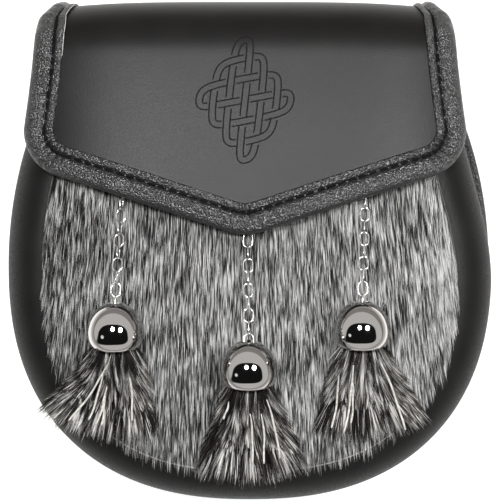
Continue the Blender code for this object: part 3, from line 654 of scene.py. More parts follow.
# %% Hair tools
HAIR_COLUMNS = ("Density", "Length", "Length spread", "Lift", "Stray", "Clump size", "Base tone")
CLUMP_STRETCH = (1.0, 0.07, 0.2)
CLUMP_TONE = 5.2
PATCHES = 45.0  # in a metre
PATCH_TONE = 1.1
SINGLE_TONE = 0.80
SINGLE_SEED = 7
DRIFTS = 70.0  # in a metre
DRIFT_TURN = 1.2
SINGLE_TURN = 0.18


def hair_form(name, bend, radius):
    """One hair of length 1 along +Z, bent towards +X, with its share of the length as an attribute."""
    rings = [(0.0, 1.0), (0.45, 0.85)] if bend else [(0.0, 1.0)]
    points = []
    for height, width in rings:
        for turn in (math.tau * k / 3 for k in range(3)):
            x = bend * height**2 + radius * width * math.cos(turn)
            points.append((x, radius * width * math.sin(turn), height))
    points.append((bend, 0.0, 1.0))
    last = 3 * (len(rings) - 1)
    faces = [(0, 2, 1)]
    faces += [(k, (k + 1) % 3, 3 + (k + 1) % 3, 3 + k) for k in range(last)]
    faces += [(last + k, last + (k + 1) % 3, last + 3) for k in range(3)]
    mesh = bpy.data.meshes.new(name)
    mesh.from_pydata(points, [], faces)
    mesh.attributes.new("reach", "FLOAT", "POINT").data.foreach_set("value", [point[2] for point in points])
    return add_object(name, mesh)


class Tree:
    """A Geometry Nodes tree with named inputs, built a node at a time."""

    def __init__(self, name, inputs):
        self.group = bpy.data.node_groups.new(name, "GeometryNodeTree")
        face = self.group.interface
        face.new_socket("Geometry", in_out="INPUT", socket_type="NodeSocketGeometry")
        face.new_socket("Geometry", in_out="OUTPUT", socket_type="NodeSocketGeometry")
        self.sockets = {}
        for label, kind in inputs.items():
            socket = face.new_socket(label, in_out="INPUT", socket_type="NodeSocket" + kind)
            self.sockets[label] = socket.identifier
        self.given = self.add("NodeGroupInput").outputs
        self.out = self.add("NodeGroupOutput")

    def add(self, kind, links=None, **settings):
        return node(self.group, kind, links, **settings)

    def math(self, operation, a, b):
        return maths(self.group, operation, a, b)

    def vector(self, operation, a, b):
        return self.add("ShaderNodeVectorMath", {0: a, 1: b}, operation=operation).outputs[0]

    def scaled(self, a, scale):
        return self.add("ShaderNodeVectorMath", {0: a, "Scale": scale}, operation="SCALE").outputs[0]

    def attribute(self, name, kind="FLOAT_VECTOR"):
        return self.add("GeometryNodeInputNamedAttribute", {"Name": name}, data_type=kind).outputs[0]

    def store(self, geometry, name, value, kind):
        links = {"Geometry": geometry, "Name": name, "Value": value}
        return self.add("GeometryNodeStoreNamedAttribute", links, data_type=kind, domain="POINT").outputs[0]

    def aim(self, links, axis, pivot="AUTO"):
        return self.add("FunctionNodeAlignRotationToVector", links, axis=axis, pivot_axis=pivot).outputs[0]

    def finish(self, points, form, rotation, material, scale=(1.0, 1.0, 1.0)):
        """Copies of a form on points, made real and dressed."""
        form = self.add("GeometryNodeObjectInfo", {"Object": form}).outputs["Geometry"]
        links = {"Points": points, "Instance": form, "Rotation": rotation, "Scale": scale}
        self.dress(self.add("GeometryNodeInstanceOnPoints", links).outputs[0], material)

    def dress(self, geometry, material):
        real = self.add("GeometryNodeRealizeInstances", {"Geometry": geometry}).outputs[0]
        dressed = self.add("GeometryNodeSetMaterial", {"Geometry": real, "Material": material}).outputs[0]
        self.group.links.new(dressed, self.out.inputs[0])

    def run(self, carrier, name, values):
        """The tree's result on a carrier, as a plain mesh object."""
        modifier = carrier.modifiers.new("grow", "NODES")
        modifier.node_group = self.group
        for label, value in values.items():
            modifier[self.sockets[label]] = value
        evaluated = carrier.evaluated_get(bpy.context.evaluated_depsgraph_get())
        mesh = bpy.data.meshes.new_from_object(evaluated)
        carrier.modifiers.remove(modifier)
        mesh.name = name
        return add_object(name, mesh)


def fur_tree():
    """Hairs over a surface: each leans along the flow, strays a little and has its own tone."""
    inputs = {"Hair": "Object", **dict.fromkeys(HAIR_COLUMNS, "Float"), "Seed": "Int", "Material": "Material"}
    tree = Tree("grow_fur", inputs)
    given = tree.given
    links = {"Mesh": given["Geometry"], "Density": given["Density"], "Seed": given["Seed"]}
    points = tree.add("GeometryNodeDistributePointsOnFaces", links).outputs
    place = tree.add("GeometryNodeInputPosition").outputs[0]

    def noise_at(spot, scale, detail):
        return tree.add("ShaderNodeTexNoise", {"Vector": spot, "Scale": scale, "Detail": detail}).outputs

    def random_at(seed):
        return tree.add("FunctionNodeRandomValue", {"Seed": seed}, data_type="FLOAT").outputs[1]

    def swing(value, gain):
        return tree.math("MULTIPLY", tree.math("SUBTRACT", value, 0.5), gain)

    def turn(colour, gain):
        return tree.scaled(tree.vector("SUBTRACT", colour, (0.5, 0.5, 0.5)), gain)

    fineness = tree.math("DIVIDE", 1.0, given["Clump size"])
    clumps = noise_at(tree.vector("MULTIPLY", place, CLUMP_STRETCH), fineness, 2.0)
    patches = noise_at(place, PATCHES, 3.0)
    drift = noise_at(place, DRIFTS, 1.0)
    ends = {0: (-1.0, -1.0, -1.0), 1: (1.0, 1.0, 1.0)}
    swerve = tree.add("FunctionNodeRandomValue", ends, data_type="FLOAT_VECTOR").outputs[0]

    up = tree.attribute("up")
    heading = tree.vector("ADD", tree.attribute("flow"), tree.scaled(up, given["Lift"]))
    turned = tree.vector("ADD", turn(clumps["Color"], 1.0), turn(drift["Color"], DRIFT_TURN))
    turned = tree.vector("ADD", turned, tree.scaled(swerve, SINGLE_TURN))
    heading = tree.vector("ADD", heading, tree.scaled(turned, given["Stray"]))
    aimed = tree.aim({"Vector": heading}, "Z")
    curled = tree.aim({"Rotation": aimed, "Vector": tree.scaled(up, -1.0)}, "X", "Z")
    size = tree.math("ADD", 1.0, swing(random_at(given["Seed"]), given["Length spread"]))
    size = tree.math("MULTIPLY", given["Length"], size)

    tone = tree.math("ADD", swing(clumps[0], CLUMP_TONE), swing(patches[0], PATCH_TONE))
    tone = tree.math("ADD", tone, swing(random_at(SINGLE_SEED), SINGLE_TONE))
    tone = tree.math("ADD", tone, tree.math("ADD", given["Base tone"], tree.attribute("coat", "FLOAT")))
    kept = tree.store(points["Points"], "up", points["Normal"], "FLOAT_VECTOR")
    kept = tree.store(kept, "tone", tone, "FLOAT")
    tree.finish(kept, given["Hair"], curled, given["Material"], size)
    return tree


def hair_material(name, stops, painted_root_shade=0.20):
    """Hair colour from its own tone, with painted shade that makes it darker at the root than at the tip."""
    made, shader, tree = plain_material(name, (0.2, 0.2, 0.2), 0.6, specular=0.06)
    tone = node(tree, "ShaderNodeAttribute", attribute_name="tone").outputs["Fac"]
    reach = node(tree, "ShaderNodeAttribute", attribute_name="reach").outputs["Fac"]
    colour = ramp(tree, maths(tree, "ADD", tone, 0.0, clamp=True), stops)
    depth = map_range(tree, reach, 0.0, 1.0, painted_root_shade, 1.0)
    tree.links.new(mixed(tree, 1.0, colour, depth, "MULTIPLY"), shader.inputs["Base Color"])
    return made


grow_fur = fur_tree()


def grow_hair(carrier, name, slot, hair, material, seed, row):
    """Hair on a carrier, with the numbers of a row in the order of HAIR_COLUMNS."""
    values = dict(zip(HAIR_COLUMNS, row), Hair=hair, Material=material, Seed=seed)
    values["Density"] *= 1.0
    coat = grow_fur.run(carrier, name, values)
    settle(coat, slot)
    print(name, "triangles:", sum(len(p.vertices) - 2 for p in coat.data.polygons))


def set_attribute(piece, name, kind, values):
    field = "vector" if kind == "FLOAT_VECTOR" else "value"
    piece.data.attributes.new(name, kind, "POINT").data.foreach_set(field, np.asarray(values, float).ravel())


print("fur tree has", len(grow_fur.group.nodes), "nodes")

# %% [markdown]
# The growing surface is a copy of the crowned hide without its hem. Each point of it carries the flow
# of the fur as a vector: straight down the pouch, and turning outwards near the rim.

# %% Fur front
GROW_TOP_Y = 48.0 * MM
RIM_HEM = 0.6 * MM
BARE_HEM = 4.6 * MM
FLOW_ASIDE = 0.10
COAT_ASIDE = 0.12


def growing_surface():
    shares = np.linspace(1.0, 0.01, 28)
    normals = left_normals(edge_points)
    inset = RIM_HEM + BARE_HEM * np.maximum(0.0, normals[:, 1]) ** 1.5
    hem = edge_points + normals * inset[:, None]
    rim = np.concatenate([hem, np.linspace(hem[-1], hem[0], 60)[1:]])
    rings = []
    for share in shares:
        xy = FRONT_MIDDLE + (rim - FRONT_MIDDLE) * share
        z = FRONT_Z + HIDE + rim_lift(xy, share, GROWING_RISE)
        rings.append(np.concatenate([xy, z[:, None]], axis=1))
    rings = np.array(rings)
    rows, around = rings.shape[:2]
    faces = []
    for i in range(rows - 1):
        for j in range(around - 1):
            corners = (i * around + j, i * around + j + 1, (i + 1) * around + j + 1, (i + 1) * around + j)
            if rings.reshape(-1, 3)[list(corners), 1].max() < GROW_TOP_Y:
                faces.append(corners)
    surface = add_piece("growing_surface", rings, faces, None)
    points = np.array([v.co for v in surface.data.vertices])
    flow = np.tile(np.array([0.0, -1.0, 0.0]), (len(points), 1))
    aside = (points[:, 0] - FRONT_MIDDLE[0]) / FRONT_HALF[0]
    flow[:, 0] = FLOW_ASIDE * aside
    set_attribute(surface, "flow", "FLOAT_VECTOR", flow)
    set_attribute(surface, "coat", "FLOAT", COAT_ASIDE * aside)
    return surface


FUR_STOPS = (
    (0.00, (0.006, 0.006, 0.006)),
    (0.30, (0.026, 0.026, 0.026)),
    (0.52, (0.150, 0.150, 0.147)),
    (0.75, (0.400, 0.400, 0.392)),
    (1.00, (0.800, 0.800, 0.785)),
)
CLUMP = 0.36 * MM
FUR_LAYERS = (
    # name, thickness and bend as shares of the length, then the columns of HAIR_COLUMNS
    ("fur_undercoat", 0.026, 0.16, 0.55e6, 6.5 * MM, 0.5, 0.24, 0.22, CLUMP, 0.18),
    ("fur_middle_coat", 0.019, 0.0, 2.40e6, 7.5 * MM, 0.5, 0.17, 0.20, CLUMP, 0.38),
    ("fur_guard_hair", 0.015, 0.0, 2.40e6, 8.5 * MM, 0.6, 0.16, 0.18, CLUMP, 0.53),
)
fur_material = hair_material("grey_fur_hair", FUR_STOPS)
surface = growing_surface()
for number, (name, thickness, bend, *row) in enumerate(FUR_LAYERS):
    fur_hair = hair_form("fur_hair_form", bend, thickness)
    grow_hair(surface, name, "grey_fur", fur_hair, fur_material, 11 + number, row)
    bpy.data.objects.remove(fur_hair)
bpy.data.objects.remove(surface)

# %% [markdown]
# The flap is one sheet of leather. Laid flat, a point on it is (across, along): along runs from the tail
# on the back, over the roll and down the front to the tip. One function bends that flat sheet into
# place, and everything on the flap is drawn flat and bent by it: the leather, its binding, the stitches
# and the ornament.

# %% The flap's shape
FLAP_WIDTH = 166.2 * MM
FLAP_TAIL = 24.0 * MM
FLAP_STANDOFF = 11.1 * MM
ROLL_Y = 74.0 * MM
FLAP_TIP_Y = 7.6 * MM
FLAP_DROOP = 8.0 * MM
DROOP_STARTS = 0.20  # as shares of the roll, as is the next
DROOP_FULL = 0.80
FRONT_TILT = 0.085
TILT_EASE = 0.07
FLAP_SLOPE = math.radians(17.4)
FLAP_CORNER_RADIUS = 17.5 * MM
FLAP_TIP_RADIUS = 20.0 * MM
FLAP_LEATHER = 2.0 * MM
ROLL_RADIUS = 0.5 * (POUCH_DEPTH + FLAP_STANDOFF)
ROLL_LENGTH = math.pi * ROLL_RADIUS
FRONT_STARTS = FLAP_TAIL + ROLL_LENGTH
FLAP_LENGTH = FRONT_STARTS + ROLL_Y - FLAP_TIP_Y
CORNER_TANGENT = FLAP_CORNER_RADIUS * math.tan(0.25 * math.pi - 0.5 * FLAP_SLOPE)
SIDE_ENDS = FLAP_LENGTH - 0.5 * FLAP_WIDTH * math.tan(FLAP_SLOPE) - CORNER_TANGENT
FLAP_WIDTHS = (
    (0.0, 0.740),
    (FLAP_TAIL, 0.800),
    (FLAP_TAIL + 0.25 * ROLL_LENGTH, 0.840),
    (FLAP_TAIL + 0.50 * ROLL_LENGTH, 0.880),
    (FLAP_TAIL + 0.66 * ROLL_LENGTH, 0.935),
    (FLAP_TAIL + 0.80 * ROLL_LENGTH, 0.950),
    (FRONT_STARTS, 0.960),
    (0.5 * (FRONT_STARTS + SIDE_ENDS), 0.978),
    (SIDE_ENDS, 1.000),
)
WIDTH_LINE = smooth_section(FLAP_WIDTHS, 200)


def flap_half_width(along):
    return 0.5 * FLAP_WIDTH * np.interp(along, WIDTH_LINE[:, 0], WIDTH_LINE[:, 1])


def flap_profile():
    """The middle line's y, z and tilt by the length along the sheet. The tilt eases off the roll."""
    along = np.linspace(0.0, FLAP_LENGTH, 1200)
    turn = np.clip((along - FLAP_TAIL) / ROLL_LENGTH, 0.0, 1.0)
    roll_tilt = math.pi * (1.0 - turn)
    down = np.clip((along - FRONT_STARTS) / (FLAP_LENGTH - FRONT_STARTS), 0.0, 1.0)
    front_tilt = FRONT_TILT * (1.0 - down)
    tilt = 0.5 * (roll_tilt + front_tilt + np.sqrt((roll_tilt - front_tilt) ** 2 + TILT_EASE**2))
    tilt = np.where(along < FLAP_TAIL, math.pi, tilt)
    step = along[1] - along[0]
    middle = 0.5 * (tilt[1:] + tilt[:-1])
    y = np.concatenate([[0.0], np.cumsum(-np.cos(middle) * step)])
    z = np.concatenate([[0.0], np.cumsum(np.sin(middle) * step)])
    return along, ROLL_Y - FLAP_TAIL + y, INSIDE_Z + z, tilt


PROFILE = flap_profile()


def flap_place(across, along, height=0.0):
    """Points at a height over the flap's outer face, for arrays of flat places."""
    across, along, height = np.broadcast_arrays(
        np.asarray(across, float), np.asarray(along, float), np.asarray(height, float)
    )
    y, z, lean = (np.interp(along, PROFILE[0], line) for line in PROFILE[1:])
    past = np.maximum(0.0, along - FLAP_LENGTH)
    y = y - past * np.cos(lean)
    z = z + past * np.sin(lean)
    out_y, out_z = np.sin(lean), np.cos(lean)
    turn = np.clip((along - FLAP_TAIL) / ROLL_LENGTH, 0.0, 1.0)
    share = across / (0.5 * FLAP_WIDTH)
    droop = FLAP_DROOP * smooth_step(turn, DROOP_STARTS, DROOP_FULL)
    tilt = 4.0 * droop * share**3 / (0.5 * FLAP_WIDTH)
    size = np.sqrt(1.0 + tilt**2)
    fall = droop * share**4
    return np.stack(
        [
            across - LEAN + height * tilt / size,
            y - out_y * fall + height * out_y / size,
            z - out_z * fall + height * out_z / size,
        ],
        axis=-1,
    )


def flap_lower_edge():
    """The edge laid flat: from the left side's end, round the corner, to the tip and up to the right."""
    half = 0.5 * FLAP_WIDTH
    sweep = np.linspace(0.0, 0.5 * math.pi - FLAP_SLOPE, 16)
    corner = np.stack(
        [
            -half + FLAP_CORNER_RADIUS * (1.0 - np.cos(sweep)),
            SIDE_ENDS + FLAP_CORNER_RADIUS * np.sin(sweep),
        ],
        axis=1,
    )
    turn = np.linspace(-FLAP_SLOPE, 0.0, 10)
    tip = np.stack(
        [
            FLAP_TIP_RADIUS * np.sin(turn),
            FLAP_LENGTH - FLAP_TIP_RADIUS + FLAP_TIP_RADIUS * np.cos(turn),
        ],
        axis=1,
    )
    left = np.concatenate([corner, tip])
    right = left[:-1][::-1] * np.array([-1.0, 1.0])
    return np.concatenate([left, right])


print("the flap's leather is", round(FLAP_LENGTH / MM), "mm long laid flat")

# %% [markdown]
# The leather itself is a grid on the flat sheet, bent into place twice: once for its face and once, two
# millimetres lower, for its flesh side.

# %% The flap's leather
FLAP_SHARP_ANGLE = math.radians(60.0)


def add_flap_leather():
    lower = resample(flap_lower_edge(), 121)
    head = np.linspace(0.0, FRONT_STARTS, 46)
    front = np.linspace(0.0, 1.0, 48)[1:]
    columns = []
    for end in lower:
        share = end[0] / (0.5 * FLAP_WIDTH)
        alongs = np.concatenate([head, FRONT_STARTS + (end[1] - FRONT_STARTS) * front])
        columns.append(np.stack([share * flap_half_width(alongs), alongs], axis=1))
    flat = np.array(columns)
    face = flap_place(flat[..., 0], flat[..., 1])
    flesh = flap_place(flat[..., 0], flat[..., 1], -FLAP_LEATHER)
    count, rows = flat.shape[:2]
    under = count * rows
    spots = flat.reshape(-1, 2).tolist()
    faces = []
    uvs = []
    for i in range(count - 1):
        for j in range(rows - 1):
            k = i * rows + j
            quad = (k, k + rows, k + rows + 1, k + 1)
            faces += [quad, tuple(under + corner for corner in reversed(quad))]
            uvs += [spots[corner] for corner in quad + quad[::-1]]
    rim = [i * rows for i in range(count)]
    rim += [(count - 1) * rows + j for j in range(1, rows)]
    rim += [i * rows + rows - 1 for i in range(count - 2, -1, -1)]
    rim += list(range(rows - 2, 0, -1))
    for a, b in zip(rim, rim[1:] + rim[:1]):
        faces.append((a, b, under + b, under + a))
        uvs += [spots[corner] for corner in (a, b, b, a)]
    points = np.concatenate([face.reshape(-1, 3), flesh.reshape(-1, 3)])
    piece = add_piece("flap_leather_sheet", points, faces, flap_leather, uvs)
    face_outwards(piece)
    piece.data.set_sharp_from_angle(angle=FLAP_SHARP_ANGLE)
    return piece


flap = add_flap_leather()
settle(flap, "smooth_leather", "flap")
print("flap faces:", len(flap.data.polygons))

# %% [markdown]
# The binding is a strip of pebbled leather folded over the flap's edge. Its section has a puffed outer
# part, a sunk line where it is stitched, and a thin inner margin. The stitches pull it down every four
# millimetres, and it pleats where it turns the corners, so the section's heights change along the edge.

# %% Flap binding
BINDING_WIDTH = 10.0 * MM
BINDING_SLACK = 0.6 * MM
BINDING_STARTS = 0.375  # share of the roll left bare behind the top edge
BINDING_END = 0.64  # its width at its two ends, as a share
BINDING_WIDENS = 30.0 * MM
STITCH_PITCH = 4.2 * MM
STITCH_INSET = 6.3 * MM
BINDING_FACE = (
    # inset and height over the flap in millimetres, from the inner margin over the puffed edge
    (10.0, 0.25),
    (9.9, 1.00),
    (9.3, 1.25),
    (8.3, 1.35),
    (7.3, 1.22),
    (6.65, 0.45),
    (6.0, 0.38),
    (5.4, 1.20),
    (4.2, 1.95),
    (2.6, 2.25),
    (1.2, 2.10),
    (0.0, 1.65),
    (-1.1, 0.85),
    (-1.75, -0.20),
)
BINDING_BACK = (
    # the same, from the edge's turn to the inner margin behind
    (-1.85, -1.5),
    (-1.6, -2.7),
    (-0.7, -3.55),
    (1.0, -3.85),
    (3.5, -3.8),
    (5.6, -3.7),
    (6.0, -3.2),
)
CORNER_REACH = 88.0 * MM  # of each corner from the binding's nearer end
CORNER_PLEATS = 15.0 * MM
TIP_PLEATS = 8.0 * MM
TIP_SHARE = 0.7
PLEAT = 0.42 * MM
PLEAT_STEP = 3.4 * MM
PLEAT_SLANT = 260.0  # radians in a metre
PLEAT_DRIFT = (1.7, 9.0 * MM)  # how unevenly the pleats follow each other, in radians, and how fast
SWELL = 0.16 * MM
SWELL_STEP = 11.0 * MM
SWELL_DRIFT = (2.0, 23.0 * MM)
PUFF = 0.22 * MM
PUFF_INSET = 3.0 * MM
PUFF_REACH = 2.2 * MM
DIMPLE = 0.10 * MM
DIMPLE_REACH = 1.5 * MM


def flap_edge_path(stations):
    head = np.linspace(FLAP_TAIL + BINDING_STARTS * ROLL_LENGTH, SIDE_ENDS, 60, endpoint=False)
    side = np.stack([-flap_half_width(head), head], axis=1)
    mirrored = side[::-1] * np.array([-1.0, 1.0])
    return resample(np.concatenate([side, flap_lower_edge(), mirrored]), stations)


EDGE_PATH = flap_edge_path(720)
EDGE_NORMALS = left_normals(EDGE_PATH)
EDGE_REACH = np.concatenate([[0.0], np.cumsum(np.linalg.norm(np.diff(EDGE_PATH, axis=0), axis=1))])
print("bound edge:", round(EDGE_REACH[-1] / MM), "mm")


def hill(value, middle, reach):
    return np.exp(-(((value - middle) / reach) ** 2))


def edge_wear(reach):
    """How much the binding pleats at a place along the edge: most at the two corners and the tip."""
    whole = EDGE_REACH[-1]
    corners = hill(reach, CORNER_REACH, CORNER_PLEATS) + hill(reach, whole - CORNER_REACH, CORNER_PLEATS)
    return corners + TIP_SHARE * hill(reach, 0.5 * whole, TIP_PLEATS)


def binding_share(reach):
    """The binding's width as a share: it is cut narrower towards its two ends on the roll."""
    from_end = np.minimum(reach, EDGE_REACH[-1] - reach)
    return 1.0 - (1.0 - BINDING_END) * (1.0 - smooth_step(from_end, 0.0, BINDING_WIDENS))


def uneven(reach, step, drift, pace):
    """The phase of a wave along the edge whose steps wander a little."""
    return math.tau * reach / step + drift * np.sin(reach / pace)


def binding_rings():
    slack = BINDING_SLACK
    section = smooth_section(np.array(BINDING_FACE + BINDING_BACK) * MM, 46)
    under = -FLAP_LEATHER - slack
    inner = [(6.0 * MM, under), (-slack, under), (-slack, 0.2 * MM), (9.9 * MM, 0.2 * MM)]
    section = np.concatenate([section, np.array(inner)])
    reach = EDGE_REACH[:, None]
    inset, height = section[None, :, 0], section[None, :, 1]
    inset = np.where(inset > 0.0, inset * binding_share(reach), inset)
    on_top = (height > 0.25 * MM) * np.ones_like(reach)
    wave = np.sin(uneven(reach, PLEAT_STEP, *PLEAT_DRIFT) + PLEAT_SLANT * inset)
    slow = np.sin(uneven(reach, SWELL_STEP, *SWELL_DRIFT))
    beat = 0.5 + 0.5 * np.cos(math.tau * reach / STITCH_PITCH)
    pleats = edge_wear(reach) * PLEAT * wave * (0.5 + 0.5 * smooth_step(inset, 2.0 * MM, 6.0 * MM))
    puffs = PUFF * hill(inset, PUFF_INSET, PUFF_REACH) * (beat - 0.5)
    dimples = DIMPLE * hill(inset, STITCH_INSET, DIMPLE_REACH) * beat
    lift = on_top * (SWELL * slow + pleats + puffs - dimples)
    x = EDGE_PATH[:, None, 0] - EDGE_NORMALS[:, None, 0] * inset
    along = EDGE_PATH[:, None, 1] - EDGE_NORMALS[:, None, 1] * inset
    return flap_place(x, along, height + lift)


binding = add_swept("flap_edge_binding", binding_rings(), binding_leather)
settle(binding, "pebbled_leather", "flap_binding")
print("binding faces:", len(binding.data.polygons))

# %% [markdown]
# Stitches lie in the sunk line. They are black waxed thread, each a short capsule, so Geometry Nodes
# place one form at equal steps along the line.

# %% Stitches
STITCH_LENGTH = 3.5 * MM
THREAD = 0.95 * MM
STITCH_SEAT = 0.42 * MM
STITCH_FORM = ((-0.5, 0.35), (-0.42, 0.8), (-0.2, 1.0), (0.2, 1.0), (0.42, 0.8), (0.5, 0.35))
thread_material = bumped_material("black_thread", (0.0025,) * 3, 0.8, 2500.0, 0.08 * MM, 0.6, specular=0.1)


def along_tree():
    """Copies of a form on points, turned as each point's own attributes say."""
    tree = Tree("place_along", {"Form": "Object", "Material": "Material"})
    given = tree.given
    points = tree.add("GeometryNodeMeshToPoints", {"Mesh": given["Geometry"]}).outputs[0]
    aimed = tree.aim({"Vector": tree.attribute("ahead")}, "X")
    turned = tree.aim({"Rotation": aimed, "Vector": tree.attribute("upward")}, "Z", "X")
    tree.finish(points, given["Form"], turned, given["Material"])
    return tree


def form_points(name, points, ahead, upward):
    """A carrier of loose points with the directions that a form takes on them."""
    carrier = add_piece(name, points, [], None)
    for label, values in (("ahead", ahead), ("upward", upward)):
        set_attribute(carrier, label, "FLOAT_VECTOR", values)
    return carrier


def form_object(name, rings, closed_along=False):
    """A small closed form in its own axes, for Geometry Nodes to copy."""
    points, faces, _ = swept(rings, closed_along)
    mesh = bpy.data.meshes.new(name)
    mesh.from_pydata(points.tolist(), [], faces)
    mesh.polygons.foreach_set("use_smooth", [True] * len(mesh.polygons))
    form = add_object(name, mesh)
    face_outwards(form)
    return form


def stitch_form():
    rings = []
    turn = np.linspace(0.0, math.tau, 8, endpoint=False)
    for place, width in STITCH_FORM:
        y = 0.5 * THREAD * width * np.cos(turn)
        z = 0.5 * THREAD * width * np.sin(turn) - 0.25 * THREAD * (2.0 * place) ** 2
        rings.append(np.stack([np.full(8, place * STITCH_LENGTH), y, z], axis=1))
    return form_object("stitch_form", rings)


place_along = along_tree()


def over_binding(reach, inset, height):
    """Places over the flap, by the reach along its edge, the inset from it and the height."""

    def at_reach(line):
        return np.stack([np.interp(reach, EDGE_REACH, line[:, k]) for k in (0, 1)], axis=1)

    flat = at_reach(EDGE_PATH) - at_reach(EDGE_NORMALS) * inset[:, None]
    return flap_place(flat[:, 0], flat[:, 1], height)


def on_line(reach, height):
    return over_binding(reach, STITCH_INSET * binding_share(reach), height)


reaches = np.arange(2.0 * MM, EDGE_REACH[-1] - 2.0 * MM, STITCH_PITCH) + 0.5 * STITCH_PITCH
middles = on_line(reaches, STITCH_SEAT)
aheads = on_line(reaches + 1.0 * MM, STITCH_SEAT) - on_line(reaches - 1.0 * MM, STITCH_SEAT)
upwards = on_line(reaches, STITCH_SEAT + 1.0 * MM) - middles
carrier = form_points("stitch_places", middles, aheads, upwards)
form = stitch_form()
stitches = place_along.run(carrier, "flap_stitches", {"Form": form, "Material": thread_material})
bpy.data.objects.remove(carrier)
bpy.data.objects.remove(form)
settle(stitches, "pebbled_leather")
print("stitches:", len(reaches))

# %% [markdown]
# Three edges show as fine lines: the binding's pale cut edge at the upper left, drawn only where the
# edge catches the light and so partly a painted highlight, the seam along the gusset's foot, and the
# hide's hem under the fur. Geometry Nodes turn each line into a thin cord.

# %% Pale edges
PALE_EDGE = 0.20 * MM
SEAM_INSET = 0.345
CUT_EDGE = (1.5 * MM, 44.0 * MM)
pale_edge_and_highlight_material = mottled_material(
    "cut_leather_edge_and_highlight", (0.30, 0.29, 0.28), 0.6, 500.0, (0.18, 0.175, 0.165), (0.48, 0.47, 0.45), specular=0.4
)
seam_material = bumped_material("waxed_seam", (0.07, 0.068, 0.065), 0.45, 1200.0, 0.05 * MM, 0.5)


def cord_tree():
    tree = Tree("cord_along", {"Radius": "Float", "Material": "Material"})
    given = tree.given
    line = tree.add("GeometryNodeMeshToCurve", {"Mesh": given["Geometry"]})
    ring = tree.add("GeometryNodeCurvePrimitiveCircle", {"Resolution": 6, "Radius": given["Radius"]})
    links = {"Curve": line.outputs[0], "Profile Curve": ring.outputs[0], "Fill Caps": True}
    tree.dress(tree.add("GeometryNodeCurveToMesh", links).outputs[0], given["Material"])
    return tree


def add_cord(name, points, radius, material, slot):
    """A thin cord through points of the maker's drawing."""
    mesh = bpy.data.meshes.new(name + "_line")
    points = np.asarray(points) + np.array(BASE)
    mesh.from_pydata(points.tolist(), [(k, k + 1) for k in range(len(points) - 1)], [])
    carrier = add_object(name + "_line", mesh)
    cord = cord_along.run(carrier, name, {"Radius": radius, "Material": material})
    bpy.data.objects.remove(carrier)
    face_outwards(cord)
    settle(cord, slot)


cord_along = cord_tree()
foot = np.array([(SEAM_INSET * BAND_WIDTH, INSIDE_Z + BINDING_LEATHER + 0.5 * PALE_EDGE)])
foot_line = carry(front_line(GUSSET_TOP_Y, 260), foot)[:, 0, :]
add_cord("channel_seam", foot_line, PALE_EDGE, seam_material, "pebbled_leather")

# The pale cord runs only where the edge catches the light: a pale cut edge with a painted highlight.
cut_reach = np.linspace(*CUT_EDGE, 70)
cut_line = over_binding(cut_reach, BINDING_WIDTH * binding_share(cut_reach) + 0.05 * MM, 0.85 * MM)
add_cord("binding_cut_edge", cut_line, PALE_EDGE, pale_edge_and_highlight_material, "pebbled_leather")

hem_out = left_normals(edge_points)
is_low = hem_out[:, 1] > 0.80
low_hem = edge_points[is_low] - hem_out[is_low] * 0.1 * MM
hem_line = np.column_stack([low_hem, np.full(len(low_hem), FRONT_Z + 0.7 * HIDE)])
add_cord("hide_hem", hem_line, 1.6 * PALE_EDGE, hide_edge_material, "grey_fur")
print("fine edges: 3")

# %% [markdown]
# The flap carries a plain interlaced knot, etched dark into the leather. A knot panel is drawn as one
# closed line that zigzags in a square turned on its corner. Where it meets itself it goes over and under
# by turns, and the lower strand's edges are cut away.

# %% Knot ornament
KNOT_MIDDLE_Y = 57.0 * MM
KNOT_HALF_WIDTH = 18.5 * MM
KNOT_HALF_HEIGHT = 24.5 * MM
KNOT_STRAND = 2.5 * MM
KNOT_LINE = 0.55 * MM
KNOT_TURNS = (3, 4)
KNOT_POINTS = 2400
KNOT_ROUNDING = 0.965  # 1 gives sharp turns
KNOT_WINDOW = 60  # points to each side that are looked at where the line crosses itself
etch_material = bumped_material(
    "etched_line", (0.012, 0.0118, 0.0115), 0.9, 1800.0, 0.05 * MM, 0.5, specular=0.0
)


def knot_line():
    """The knot's middle line, flat, round its own middle."""
    t = np.linspace(0.0, math.tau, KNOT_POINTS, endpoint=False)
    a, b = KNOT_TURNS

    def zigzag(angle):
        return np.arcsin(KNOT_ROUNDING * np.sin(angle)) / math.asin(KNOT_ROUNDING)

    p = zigzag(a * t)
    q = zigzag(b * t)
    return np.stack([KNOT_HALF_WIDTH * 0.5 * (p + q), KNOT_HALF_HEIGHT * 0.5 * (q - p)], axis=1)


def crossings(line):
    """Pairs of places (fractions of the line's points) where the closed line crosses itself."""
    count = len(line)
    step = np.roll(line, -1, axis=0) - line
    found = []
    for i in range(count):
        p, r = line[i], step[i]
        q, s = line[i + 2 :], step[i + 2 :]
        cross = r[0] * s[:, 1] - r[1] * s[:, 0]
        gap = q - p
        with np.errstate(divide="ignore", invalid="ignore"):
            first = (gap[:, 0] * s[:, 1] - gap[:, 1] * s[:, 0]) / cross
            second = (gap[:, 0] * r[1] - gap[:, 1] * r[0]) / cross
        hit = (first >= 0.0) & (first < 1.0) & (second >= 0.0) & (second < 1.0)
        for k in np.nonzero(hit)[0]:
            j = i + 2 + k
            if (j + 1) % count != i:
                found.append((i, j))
    return found


def shown_runs(line, pairs):
    """Stretches of the line between the places where it passes under itself."""
    count = len(line)
    visits = sorted([(i, j) for i, j in pairs] + [(j, i) for i, j in pairs])
    hidden = np.zeros(count, bool)
    for place, over in visits[::2]:
        around_over = line[(over + np.arange(-KNOT_WINDOW, KNOT_WINDOW)) % count]
        for k in range(place - KNOT_WINDOW, place + KNOT_WINDOW):
            gap = np.min(np.linalg.norm(around_over - line[k % count], axis=1))
            if gap < 0.5 * KNOT_STRAND + 0.9 * KNOT_LINE:
                hidden[k % count] = True
    runs = [[]]
    for k in (int(np.nonzero(hidden)[0][0]) + np.arange(count)) % count:
        if hidden[k]:
            runs.append([])
        else:
            runs[-1].append(k)
    return [run[::3] + [run[-1]] for run in runs if len(run) > 3]


